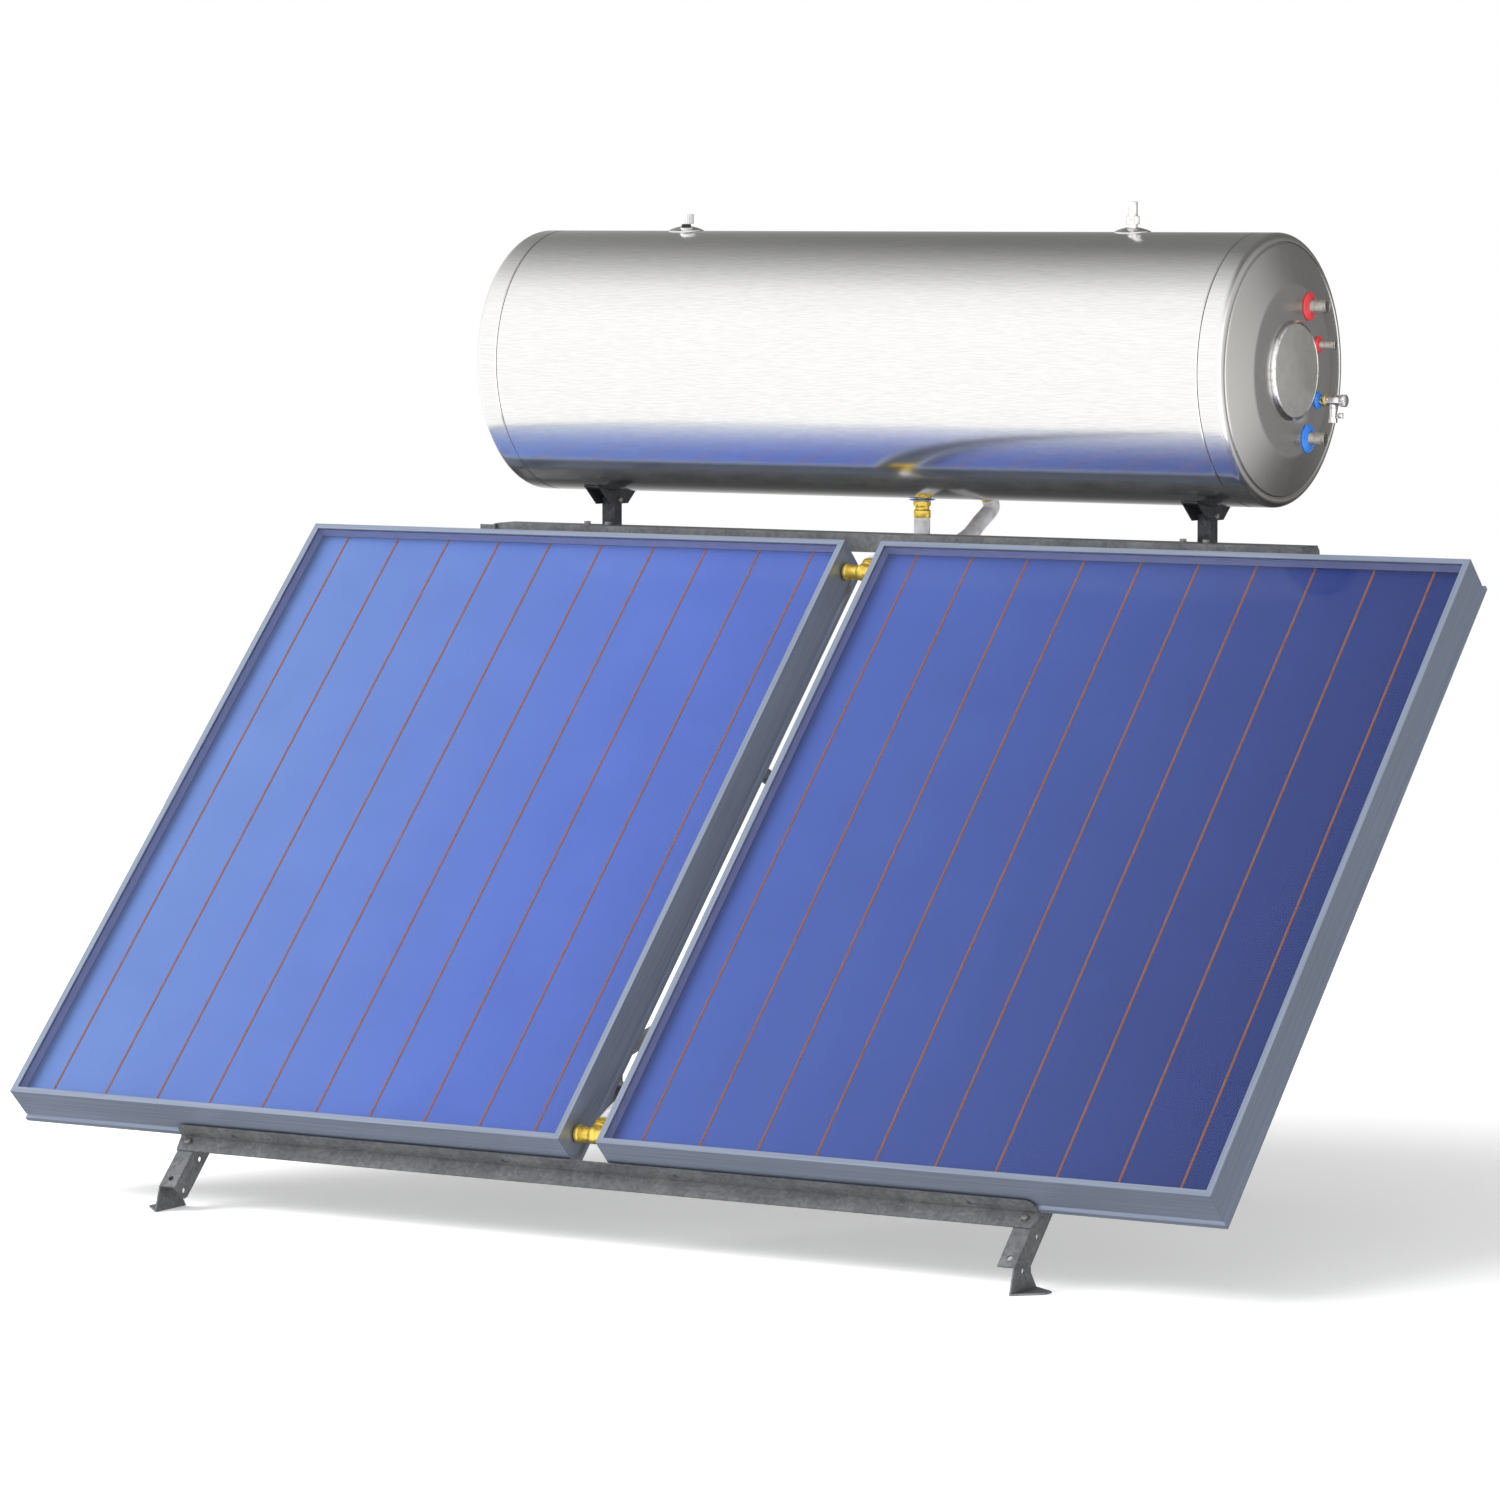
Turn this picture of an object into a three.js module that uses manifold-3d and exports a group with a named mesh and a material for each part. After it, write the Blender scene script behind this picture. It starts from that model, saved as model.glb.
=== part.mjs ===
// A thermosiphon solar water heater: two flat-plate collectors and a horizontal tank on a steel stand.
// Millimetres, +Z up. The origin is on the ground under the middle of the heater, -Y is its sunny side.
import * as THREE from "three";
import { mergeVertices } from "three/addons/utils/BufferGeometryUtils.js";
import Module from "manifold-3d";

const wasm = await Module();
wasm.setup();

const CLEARANCE = 0.3;

// Collectors: sizes are across the top lip of the frame, depths run down from the lip.
const TILT = THREE.MathUtils.degToRad(45.36);
const COLLECTOR_WIDTH = 1230;
const COLLECTOR_LENGTH = 1446;
const COLLECTOR_DEPTH = 88;
const COLLECTOR_SPACING = 79;
const LIP_WIDTH = 12;
const BASE_LIP = 4;
const WALL = 2.2;
const GLASS_THICKNESS = 3.2;
const ABSORBER_DEPTH = 25;
const RISER_COUNT = 10;
const RISER_PITCH = 120;
const RISER_RADIUS = 4;
const RISER_DEPTH = 30.4;
const HEADER_RADIUS = 11;
const HEADER_DEPTH = 42;
const HEADER_INSET = 45;
const HEADER_STUB = 11;

// Stand. Its bars are cold-formed angles of one thickness.
const SHEET = 3;
const SLOPE_Z = 196; // height of the collectors' lower front edge
const SLOPE_Y = -691.25; // and its place from front to back
const RAIL_X = 888.5; // middle of a side rail's flange
const RAIL_FLANGE = 35;
const RAIL_WEB = 45;
const RAIL_START = -122;
const RAIL_END = 1490;
const RAIL_DEPTH = COLLECTOR_DEPTH + 0.5;
const RAIL_BOLTS = [-103, -20]; // along the slope
const FOOT_REACH = 45;
const LEG_X = 660;
const LEG_SIZE = 28;
const LEG_TOP = 1286;
const CROSS_RAIL_TOP = 1234;
const CROSS_RAIL_Y = 1072; // behind the collectors' lower front edge
const BRACE_LOW = 165;
const BRACE_HIGH = 954;

// Tank. Distances along it are from its middle.
const TANK_RADIUS = 255.5;
const TANK_SIDES = 32;
const VESSEL_SIDES = 20;
const TANK_Y = 1165; // behind the collectors' lower front edge
const TANK_Z = 1556;
const SEAM_X = 766;
const RIM_X = 816;
const FACE_X = 836;
const VESSEL_RADIUS = 200;
const VESSEL_HALF = 700;
const VESSEL_DOME = 60;
const VESSEL_WALL = 3;
const NECK_RADIUS = 70;
const VENT_X = -487;
const RELIEF_X = 499;
const COLD_UNION_X = 45;
const HOT_UNION_X = 116;
const HOT_UNION_ANGLE = THREE.MathUtils.degToRad(28);

// Ports on the tank's right end: place from the tank's axis and pipe radii.
const PORTS = {
  hot_outlet: { y: 66, z: 118, outer: 13, bore: 10, rosette: 27 },
  hot_loop: { y: 104, z: 46, outer: 9, bore: 6, rosette: 16.5 },
  cold_inlet: { y: 63, z: -128, outer: 13, bore: 10, rosette: 27 },
};
const VALVE_PORT = { y: 104, z: -58, outer: 9, bore: 6, rosette: 16.5 };
const NIPPLE_END = FACE_X + 38;

function metal(color, roughness) {
  return new THREE.MeshStandardMaterial({ color, roughness, metalness: 1 });
}
function plain(color, roughness) {
  return new THREE.MeshStandardMaterial({ color, roughness, metalness: 0 });
}
const FINISH = {
  frame: metal(0x9aa0ab, 0.35),
  glass: new THREE.MeshStandardMaterial({
    color: 0xdfe8f2,
    roughness: 0.05,
    transparent: true,
    opacity: 0.35,
  }),
  absorber: metal(0x3a4fa8, 0.4),
  copper: metal(0xb9674a, 0.35),
  wool: plain(0xc9b65f, 0.95),
  backSheet: metal(0xa9adb2, 0.45),
  galvanised: metal(0x80838a, 0.55),
  saddle: plain(0x2b2b30, 0.6),
  stainless: metal(0xc9c8c6, 0.22),
  endPlate: plain(0x6f6d69, 0.5),
  foam: plain(0xe6d9a4, 0.9),
  enamel: plain(0x31475e, 0.3),
  steel: metal(0x8b8a88, 0.4),
  red: plain(0xe8383d, 0.4),
  blue: plain(0x0a74e0, 0.4),
  chrome: metal(0xd5d6d8, 0.12),
  brass: metal(0xd8a72c, 0.25),
  hose: plain(0xcfcdd0, 0.6),
  cap: plain(0xe4e4e4, 0.4),
};

// --- solids -------------------------------------------------------------------------------------

function solid(geometry) {
  const bare = new THREE.BufferGeometry();
  bare.setAttribute("position", geometry.getAttribute("position"));
  bare.setIndex(geometry.getIndex());
  const merged = mergeVertices(bare, 1e-3);
  const triVerts = new Uint32Array(merged.index.array);
  return new wasm.Manifold(
    new wasm.Mesh({ numProp: 3, vertProperties: merged.attributes.position.array, triVerts }),
  );
}

function geometryOf(body) {
  const made = body.getMesh();
  const geometry = new THREE.BufferGeometry();
  geometry.setAttribute("position", new THREE.BufferAttribute(made.vertProperties, made.numProp));
  geometry.setIndex(new THREE.BufferAttribute(made.triVerts, 1));
  return geometry;
}

function joined(first, ...others) {
  return geometryOf(others.reduce((body, other) => body.add(solid(other)), solid(first)));
}

function cut(first, ...tools) {
  return geometryOf(tools.reduce((body, tool) => body.subtract(solid(tool)), solid(first)));
}

// --- simple shapes ------------------------------------------------------------------------------

function box(x0, x1, y0, y1, z0, z1) {
  const geometry = new THREE.BoxGeometry(x1 - x0, y1 - y0, z1 - z0);
  return geometry.translate((x0 + x1) / 2, (y0 + y1) / 2, (z0 + z1) / 2);
}

// A round or many-sided bar from one point to another.
function bar(from, to, radius, sides = 12) {
  const start = new THREE.Vector3(...from);
  const along = new THREE.Vector3(...to).sub(start);
  const geometry = new THREE.CylinderGeometry(radius, radius, along.length(), sides);
  const turn = new THREE.Quaternion().setFromUnitVectors(
    new THREE.Vector3(0, 1, 0),
    along.clone().normalize(),
  );
  return geometry.applyQuaternion(turn).translate(...start.addScaledVector(along, 0.5).toArray());
}

// A profile of [distance along the axis, radius] points turned about the X axis.
function turned(profile, sides = 16) {
  const points = profile.map(([x, r]) => new THREE.Vector2(r, x));
  return new THREE.LatheGeometry(points, sides).rotateZ(-Math.PI / 2);
}

// A profile of [height, radius] points turned about the Z axis.
function turnedUp(profile, sides = 16) {
  const points = profile.map(([z, r]) => new THREE.Vector2(r, z));
  return new THREE.LatheGeometry(points, sides).rotateX(Math.PI / 2);
}

function shapeOf(points) {
  return new THREE.Shape(points.map(([a, b]) => new THREE.Vector2(a, b)));
}

// An outline of [y, z] points, extruded from x0 to x1.
function platedX(shape, x0, x1) {
  const geometry = new THREE.ExtrudeGeometry(shape, {
    depth: x1 - x0,
    bevelEnabled: false,
    curveSegments: 6,
  });
  const axes = new THREE.Matrix4().makeBasis(
    new THREE.Vector3(0, 1, 0),
    new THREE.Vector3(0, 0, 1),
    new THREE.Vector3(1, 0, 0),
  );
  return geometry.applyMatrix4(axes).translate(x0, 0, 0);
}

// An outline of [x, z] points, extruded from y0 to y1.
function platedY(shape, y0, y1) {
  const geometry = new THREE.ExtrudeGeometry(shape, {
    depth: y1 - y0,
    bevelEnabled: false,
    curveSegments: 6,
  });
  return geometry.rotateX(Math.PI / 2).translate(0, y1, 0);
}

// A row-frame [y, z] point from a place along the slope and out of it.
function onSlope(along, out) {
  return [
    SLOPE_Y + along * Math.cos(TILT) - out * Math.sin(TILT),
    SLOPE_Z + along * Math.sin(TILT) + out * Math.cos(TILT),
  ];
}

const heater = new THREE.Group();

// The slope's own frame: x to the right, y up the slope from the collectors' lower edge, z out of the glass.
const slope = new THREE.Group();
slope.position.set(0, SLOPE_Y, SLOPE_Z);
slope.rotation.x = TILT;
heater.add(slope);

// The tank's own frame: x along its axis from its middle.
const tank = new THREE.Group();
tank.position.set(0, SLOPE_Y + TANK_Y, TANK_Z);
heater.add(tank);

function place(group, name, geometry, material) {
  const mesh = new THREE.Mesh(geometry, material);
  mesh.name = name;
  group.add(mesh);
  return mesh;
}

// --- collectors ---------------------------------------------------------------------------------

// The frame extrusion as [distance in from the lip's edge, height]: lip, wall with a groove, base.
const FRAME_PROFILE = [
  [0, 0],
  [0, -70],
  [1.6, -71],
  [1.6, -73],
  [0, -74.5],
  [-BASE_LIP, -77],
  [-BASE_LIP, 1.5 - COLLECTOR_DEPTH],
  [1.5 - BASE_LIP, -COLLECTOR_DEPTH],
  [22, -COLLECTOR_DEPTH],
  [22, 2 - COLLECTOR_DEPTH],
  [4, 2 - COLLECTOR_DEPTH],
  [4, -69],
  [WALL, -67],
  [WALL, -2.2],
  [LIP_WIDTH, -2.2],
  [LIP_WIDTH, 0],
];

// A bar of the frame along +x with its inner side towards +y, mitred at both ends.
function frameBar(length) {
  const geometry = new THREE.ExtrudeGeometry(shapeOf(FRAME_PROFILE), { depth: 1, bevelEnabled: false });
  const position = geometry.getAttribute("position");
  for (let i = 0; i < position.count; i++) {
    const inset = position.getX(i);
    const height = position.getY(i);
    const mitre = inset + CLEARANCE / 2;
    position.setXYZ(i, position.getZ(i) > 0.5 ? length - mitre : mitre, inset, height);
  }
  return geometry;
}

function headerHoles(y) {
  return [HEADER_INSET, COLLECTOR_LENGTH - HEADER_INSET].map((x) =>
    bar([x, y - 20, -HEADER_DEPTH], [x, y + 20, -HEADER_DEPTH], HEADER_RADIUS + 0.9),
  );
}

// innerSide is +1 where the collector's right side faces the other collector, -1 where its left does.
function collector(side, innerSide) {
  const group = new THREE.Group();
  const halfWidth = COLLECTOR_WIDTH / 2;
  group.position.x = -innerSide * (halfWidth + COLLECTOR_SPACING / 2);
  slope.add(group);

  const bottom = place(group, side + "_frame_bottom", frameBar(COLLECTOR_WIDTH), FINISH.frame);
  bottom.position.set(-halfWidth, 0, 0);
  const top = place(group, side + "_frame_top", frameBar(COLLECTOR_WIDTH), FINISH.frame);
  top.position.set(halfWidth, COLLECTOR_LENGTH, 0);
  top.rotation.z = Math.PI;
  const drilled = cut(frameBar(COLLECTOR_LENGTH), ...headerHoles(0));
  const whole = frameBar(COLLECTOR_LENGTH);
  const right = place(group, side + "_frame_right", innerSide > 0 ? drilled : whole, FINISH.frame);
  right.position.set(halfWidth, 0, 0);
  right.rotation.z = Math.PI / 2;
  const left = place(group, side + "_frame_left", innerSide > 0 ? whole : drilled, FINISH.frame);
  left.position.set(-halfWidth, COLLECTOR_LENGTH, 0);
  left.rotation.z = -Math.PI / 2;

  function panel(name, inset, height, thickness, material) {
    const x = halfWidth - inset;
    const geometry = box(-x, x, inset, COLLECTOR_LENGTH - inset, height - thickness, height);
    place(group, side + name, geometry, material);
  }
  panel("_glass", WALL + CLEARANCE, -2.2 - CLEARANCE, GLASS_THICKNESS, FINISH.glass);
  panel("_absorber", 6, -ABSORBER_DEPTH, 1, FINISH.absorber);
  panel("_insulation", 6, -HEADER_DEPTH - 12, 29.5, FINISH.wool);
  panel("_back_sheet", 5, 4 - COLLECTOR_DEPTH, 1.4, FINISH.backSheet);

  // Two headers and ten risers, brazed together. The headers come out towards the other collector.
  const outer = -innerSide * (halfWidth - 14);
  const inner = innerSide * (halfWidth + HEADER_STUB);
  const headers = [HEADER_INSET, COLLECTOR_LENGTH - HEADER_INSET].map((y) =>
    bar([outer, y, -HEADER_DEPTH], [inner, y, -HEADER_DEPTH], HEADER_RADIUS, 10),
  );
  const risers = Array.from({ length: RISER_COUNT }, (_, i) => {
    const x = (i - (RISER_COUNT - 1) / 2) * RISER_PITCH;
    const start = [x, HEADER_INSET, -RISER_DEPTH];
    return bar(start, [x, COLLECTOR_LENGTH - HEADER_INSET, -RISER_DEPTH], RISER_RADIUS, 6);
  });
  place(group, side + "_riser_harp", joined(...headers, ...risers), FINISH.copper);
}

collector("left", 1);
collector("right", -1);

// --- brass tees between the collectors ----------------------------------------------------------

const TEE_HALF = COLLECTOR_SPACING / 2 - HEADER_STUB - 0.4;
const NUT_RADIUS = 17;
const BRANCH_LENGTH = 38;

// branch is the unit direction [y, z] of the third leg in the slope's frame.
function tee(branch) {
  const nutEnd = COLLECTOR_SPACING / 2 - 2;
  const run = bar([-TEE_HALF, 0, 0], [TEE_HALF, 0, 0], HEADER_RADIUS);
  const barrel = bar([-16, 0, 0], [16, 0, 0], 14);
  const leg = bar([0, 0, 0], [0, branch[0] * BRANCH_LENGTH, branch[1] * BRANCH_LENGTH], 12);
  const collar = bar(
    [0, branch[0] * 20, branch[1] * 20],
    [0, branch[0] * BRANCH_LENGTH, branch[1] * BRANCH_LENGTH],
    NUT_RADIUS,
    6,
  );
  const nuts = [-1, 1].map((side) => {
    const nut = bar([side * 20, 0, 0], [side * nutEnd, 0, 0], NUT_RADIUS, 6);
    const bore = bar([side * TEE_HALF, 0, 0], [side * (nutEnd + 5), 0, 0], HEADER_RADIUS + 0.7);
    return cut(nut, bore);
  });
  return joined(run, barrel, leg, collar, ...nuts);
}

// The branches lean away from the slope by 25 and 20 degrees, towards the back.
const UPPER_BRANCH = [0.9063, -0.4226];
const LOWER_BRANCH = [0.9397, -0.342];
const UPPER_TEE_ALONG = COLLECTOR_LENGTH - HEADER_INSET;
place(slope, "upper_tee", tee(UPPER_BRANCH), FINISH.brass).position.set(0, UPPER_TEE_ALONG, -HEADER_DEPTH);
place(slope, "lower_tee", tee(LOWER_BRANCH), FINISH.brass).position.set(0, HEADER_INSET, -HEADER_DEPTH);

// --- stand --------------------------------------------------------------------------------------

// The edge of a foot from its front on the ground round to the back of its rail's web.
const WEB_DEPTH = RAIL_DEPTH + RAIL_WEB;
const FOOT_EDGE = [
  [SLOPE_Y - 38, 0],
  [SLOPE_Y + 58, 0],
  [SLOPE_Y + 36, 30],
  onSlope(RAIL_START + 37, -WEB_DEPTH),
];

// The head of a side rail's web, which holds the upper cross rail.
const HEAD_FRONT = SLOPE_Y + CROSS_RAIL_Y - 7;
const HEAD_EDGE = [
  onSlope(RAIL_END, -WEB_DEPTH),
  [HEAD_FRONT + 76, CROSS_RAIL_TOP - 34],
  [HEAD_FRONT + 74, CROSS_RAIL_TOP - 9],
  [HEAD_FRONT + 66, CROSS_RAIL_TOP - 1],
  [HEAD_FRONT, CROSS_RAIL_TOP - 1],
  [HEAD_FRONT, CROSS_RAIL_TOP - 44],
  onSlope(RAIL_END - 35, -RAIL_DEPTH),
];
const RAIL_TOE = onSlope(RAIL_START, -RAIL_DEPTH);

// side is -1 for the left rail and +1 for the right one. Both rails are of the same hand, with the web
// on the right, and their feet turn outwards: the right foot is part of the web, the left one is a gusset.
function sideRail(side) {
  const middle = side * RAIL_X;
  const x0 = middle - RAIL_FLANGE / 2;
  const x1 = middle + RAIL_FLANGE / 2;
  const flange = box(x0, x1, RAIL_START, RAIL_END, -RAIL_DEPTH - SHEET, -RAIL_DEPTH);
  flange.rotateX(TILT).translate(0, SLOPE_Y, SLOPE_Z);
  const plainEnd = [
    onSlope(RAIL_START, 12 - WEB_DEPTH),
    onSlope(RAIL_START + 4, 4 - WEB_DEPTH),
    onSlope(RAIL_START + 12, -WEB_DEPTH),
  ];
  const webEnd = side > 0 ? FOOT_EDGE : plainEnd;
  const web = platedX(shapeOf([...webEnd, ...HEAD_EDGE, RAIL_TOE]), x1 - SHEET, x1);
  const parts = [web];
  if (side < 0) {
    const gusset = shapeOf([
      ...FOOT_EDGE,
      onSlope(30, -RAIL_DEPTH - 12),
      onSlope(30, -RAIL_DEPTH - 1),
      RAIL_TOE,
    ]);
    parts.push(platedX(gusset, x0, x0 + SHEET));
  }
  parts.push(box(x0, x1, HEAD_FRONT, HEAD_FRONT + SHEET, CROSS_RAIL_TOP - 37, CROSS_RAIL_TOP - 3));
  const foot = new THREE.ExtrudeGeometry(
    shapeOf([
      [-side, SLOPE_Y - 38],
      [-side, SLOPE_Y + 58],
      [side * FOOT_REACH, SLOPE_Y + 28],
      [side * FOOT_REACH, SLOPE_Y + 6],
    ]),
    { depth: SHEET, bevelEnabled: false },
  );
  parts.push(foot.translate(side > 0 ? x1 : x0, 0, 0));
  const holes = RAIL_BOLTS.map((along) =>
    bar([middle, along, -RAIL_DEPTH - 5], [middle, along, -RAIL_DEPTH + 2], 5.5, 10)
      .rotateX(TILT)
      .translate(0, SLOPE_Y, SLOPE_Z),
  );
  const webHoles = [-108, -35].map((along) => {
    const [y, z] = onSlope(along, -117);
    return bar([x1 - 5, y, z], [x1 + 2, y, z], 5.5, 10);
  });
  return cut(joined(flange, ...parts), ...holes, ...webHoles);
}
place(heater, "left_side_rail", sideRail(-1), FINISH.galvanised);
place(heater, "right_side_rail", sideRail(1), FINISH.galvanised);

// A long slot with round ends through a plate that faces y.
function slotTool(x, z, length, radius) {
  const half = length / 2 - radius;
  const shape = new THREE.Shape();
  shape.absarc(x + half, z, radius, -Math.PI / 2, Math.PI / 2, false);
  shape.absarc(x - half, z, radius, Math.PI / 2, Math.PI * 1.5, false);
  return platedY(shape, -20, 20);
}

// The lower cross rail stops the collectors with its upright flange. The other lies on the side rails.
function lowerCrossRail() {
  const half = RAIL_X + RAIL_FLANGE / 2 + 6;
  const bend = -RAIL_DEPTH + CLEARANCE;
  const back = -BASE_LIP - 0.4;
  const upright = platedY(
    shapeOf([
      [-half, bend],
      [half, bend],
      [half - 4, bend + 22],
      [half - 8, bend + 31],
      [half - 16, bend + RAIL_FLANGE],
      [16 - half, bend + RAIL_FLANGE],
      [8 - half, bend + 31],
      [4 - half, bend + 22],
    ]),
    back - SHEET,
    back,
  );
  const lying = new THREE.ExtrudeGeometry(
    shapeOf([
      [-half, back],
      [5 - half, back - RAIL_FLANGE],
      [half - 8, back - RAIL_FLANGE],
      [half, back - 20],
      [half, back],
    ]),
    { depth: SHEET, bevelEnabled: false },
  ).translate(0, 0, bend);
  const slots = [-782, -183, 183, 782].map((x) => slotTool(x, bend + 16, 16, 4.5));
  const holes = [-1, 1].map((side) =>
    bar([side * RAIL_X, RAIL_BOLTS[1], bend - 2], [side * RAIL_X, RAIL_BOLTS[1], bend + 5], 5.5, 10),
  );
  return cut(joined(upright, lying), ...slots, ...holes);
}
place(slope, "lower_cross_rail", lowerCrossRail(), FINISH.galvanised);

// The upper cross rail is an angle with a plate at each end, between the side rails' webs.
function upperCrossRail() {
  const x0 = -RAIL_X + RAIL_FLANGE / 2 + CLEARANCE;
  const x1 = RAIL_X + RAIL_FLANGE / 2 - SHEET - CLEARANCE;
  const front = SLOPE_Y + CROSS_RAIL_Y;
  const back = front + 67;
  const top = CROSS_RAIL_TOP;
  const angle = shapeOf([
    [front, top - RAIL_FLANGE],
    [front + SHEET, top - RAIL_FLANGE],
    [front + SHEET, top - SHEET],
    [back, top - SHEET],
    [back, top],
    [front, top],
  ]);
  const end = shapeOf([
    [front + 1, top - 1],
    [front + 1, top + 1 - RAIL_FLANGE],
    [back - 20, top + 1 - RAIL_FLANGE],
    [back - 10, top - 1],
  ]);
  return joined(platedX(angle, x0, x1), platedX(end, x0 + 1, x0 + 4), platedX(end, x1 - 4, x1 - 1));
}
place(heater, "upper_cross_rail", upperCrossRail(), FINISH.galvanised);

// A rear leg carries the upper cross rail on a lug and goes on up as the post under the tank.
function rearLeg(x) {
  const y = SLOPE_Y + TANK_Y;
  const half = LEG_SIZE / 2;
  const tube = box(x - half, x + half, y - half, y + half, 2, LEG_TOP);
  const hollow = box(x - half + 2.5, x + half - 2.5, y - half + 2.5, y + half - 2.5, 6, LEG_TOP + 10);
  const foot = box(x - 45, x + 45, y - 40, y + 40, 0, 4);
  const lugTop = CROSS_RAIL_TOP - SHEET - CLEARANCE;
  const lug = box(x - 35, x + 35, y - half - 48, y - half + 1, lugTop - 4, lugTop);
  return cut(joined(tube, foot, lug), hollow);
}
place(heater, "left_rear_leg", rearLeg(-LEG_X), FINISH.galvanised);
place(heater, "right_rear_leg", rearLeg(LEG_X), FINISH.galvanised);

// Two flat bars cross between the legs, one on their front faces and one on their rear faces.
function brace(rises, y) {
  const run = 2 * LEG_X;
  const climb = BRACE_HIGH - BRACE_LOW;
  const length = Math.hypot(run, climb) + LEG_SIZE;
  const geometry = box(-length / 2, length / 2, y, y + 4, -15, 15);
  return geometry
    .rotateY(-rises * Math.atan2(climb, run))
    .translate(0, 0, (BRACE_HIGH + BRACE_LOW) / 2);
}
const legFront = SLOPE_Y + TANK_Y - LEG_SIZE / 2;
const legBack = legFront + LEG_SIZE;
place(heater, "front_cross_brace", brace(1, legFront - CLEARANCE - 4), FINISH.galvanised);
place(heater, "rear_cross_brace", brace(-1, legBack + CLEARANCE), FINISH.galvanised);

// A flat stay from a side rail's web down to a leg, with both ends bent flat against them.
function stay(railFace, legFace) {
  const [railY, railZ] = onSlope(420, -RAIL_DEPTH - SHEET - 20);
  const legY = SLOPE_Y + TANK_Y;
  const legZ = 120;
  const run = Math.hypot(legY - railY, legZ - railZ);
  const tab = 45;
  const thick = 4 * Math.sign(legFace - railFace);
  const outline = shapeOf([
    [-15, railFace],
    [tab, railFace],
    [run - tab, legFace - thick],
    [run + 12, legFace - thick],
    [run + 12, legFace],
    [run - tab - 4, legFace],
    [tab - 4, railFace + thick],
    [-15, railFace + thick],
  ]);
  const geometry = new THREE.ExtrudeGeometry(outline, { depth: 30, bevelEnabled: false });
  const along = new THREE.Vector3(0, legY - railY, legZ - railZ).normalize();
  const sideways = new THREE.Vector3(1, 0, 0);
  const axes = new THREE.Matrix4().makeBasis(along, sideways, along.clone().cross(sideways));
  return geometry.translate(0, 0, -15).applyMatrix4(axes).translate(0, railY, railZ);
}
const railFaceLeft = -RAIL_X + RAIL_FLANGE / 2 + CLEARANCE;
const railFaceRight = RAIL_X + RAIL_FLANGE / 2 - SHEET - CLEARANCE;
const legFace = LEG_X + LEG_SIZE / 2 + CLEARANCE;
place(heater, "left_stay", stay(railFaceLeft, -legFace), FINISH.galvanised);
place(heater, "right_stay", stay(railFaceRight, legFace), FINISH.galvanised);

// A saddle: two cheeks on either side of the post, under a strap that follows the tank.
function saddle(x) {
  const seat = TANK_RADIUS + 0.5;
  const spread = 0.3; // half the strap's angle
  const cheek = new THREE.Shape();
  cheek.moveTo(-32, -TANK_RADIUS - 27);
  cheek.lineTo(32, -TANK_RADIUS - 27);
  cheek.lineTo(seat * Math.sin(spread), -seat * Math.cos(spread) - 2);
  cheek.absarc(0, 0, seat + 1, -Math.PI / 2 + spread, -Math.PI / 2 - spread, true);
  const strap = new THREE.Shape();
  strap.absarc(0, 0, seat + SHEET, -Math.PI / 2 - spread, -Math.PI / 2 + spread, false);
  strap.absarc(0, 0, seat, -Math.PI / 2 + spread, -Math.PI / 2 - spread, true);
  const outside = LEG_SIZE / 2 + CLEARANCE + SHEET;
  return joined(
    platedX(strap, x - outside, x + outside),
    platedX(cheek, x - outside, x - outside + SHEET),
    platedX(cheek, x + outside - SHEET, x + outside),
  );
}
place(tank, "left_saddle", saddle(-LEG_X), FINISH.saddle);
place(tank, "right_saddle", saddle(LEG_X), FINISH.saddle);

// --- tank ---------------------------------------------------------------------------------------

// Radial pipe stubs as [x, angle from straight down towards the rear, hole radius in the shells].
const RADIAL_PORTS = [
  [VENT_X, Math.PI, 10],
  [RELIEF_X, Math.PI, 10],
  [COLD_UNION_X, 0, 12.4],
  [HOT_UNION_X, HOT_UNION_ANGLE, 12.4],
];

function radial(x, angle, r) {
  return [x, r * Math.sin(angle), -r * Math.cos(angle)];
}

function radialHoles(extra) {
  return RADIAL_PORTS.map(([x, angle, radius]) =>
    bar(radial(x, angle, 150), radial(x, angle, 300), radius + extra),
  );
}

function endHoles(extra) {
  return [...Object.values(PORTS), VALVE_PORT].map((port) =>
    bar([650, port.y, port.z], [900, port.y, port.z], port.outer + extra),
  );
}

const jacketTube = turned([
  [-SEAM_X, TANK_RADIUS],
  [SEAM_X, TANK_RADIUS],
  [SEAM_X, TANK_RADIUS - 1.5],
  [-SEAM_X, TANK_RADIUS - 1.5],
  [-SEAM_X, TANK_RADIUS],
], TANK_SIDES);
place(tank, "tank_jacket", cut(jacketTube, ...radialHoles(0.4)), FINISH.stainless);

// The outside of an end cap, from the seam over a rolled rim to the flat middle.
const CAP_OUTSIDE = [
  [SEAM_X + CLEARANCE, TANK_RADIUS],
  [RIM_X - 18, TANK_RADIUS],
  [RIM_X - 4, TANK_RADIUS - 5],
  [RIM_X, TANK_RADIUS - 13],
  [FACE_X, 160],
];
const CAP_INSIDE = [
  [FACE_X - 2, 160],
  [RIM_X - 3, TANK_RADIUS - 14],
  [RIM_X - 18, TANK_RADIUS - 2],
  [SEAM_X + CLEARANCE, TANK_RADIUS - 2],
  [SEAM_X + CLEARANCE, TANK_RADIUS],
];
function mirrored(profile) {
  return profile.map(([x, r]) => [-x, r]).reverse();
}
const closedCap = turned(
  mirrored([[FACE_X - 2, 0], ...CAP_INSIDE.slice(0, -1), ...CAP_OUTSIDE, [FACE_X, 0]].reverse()).reverse(),
  TANK_SIDES,
);
place(tank, "left_end_cap", closedCap, FINISH.stainless);
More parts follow.
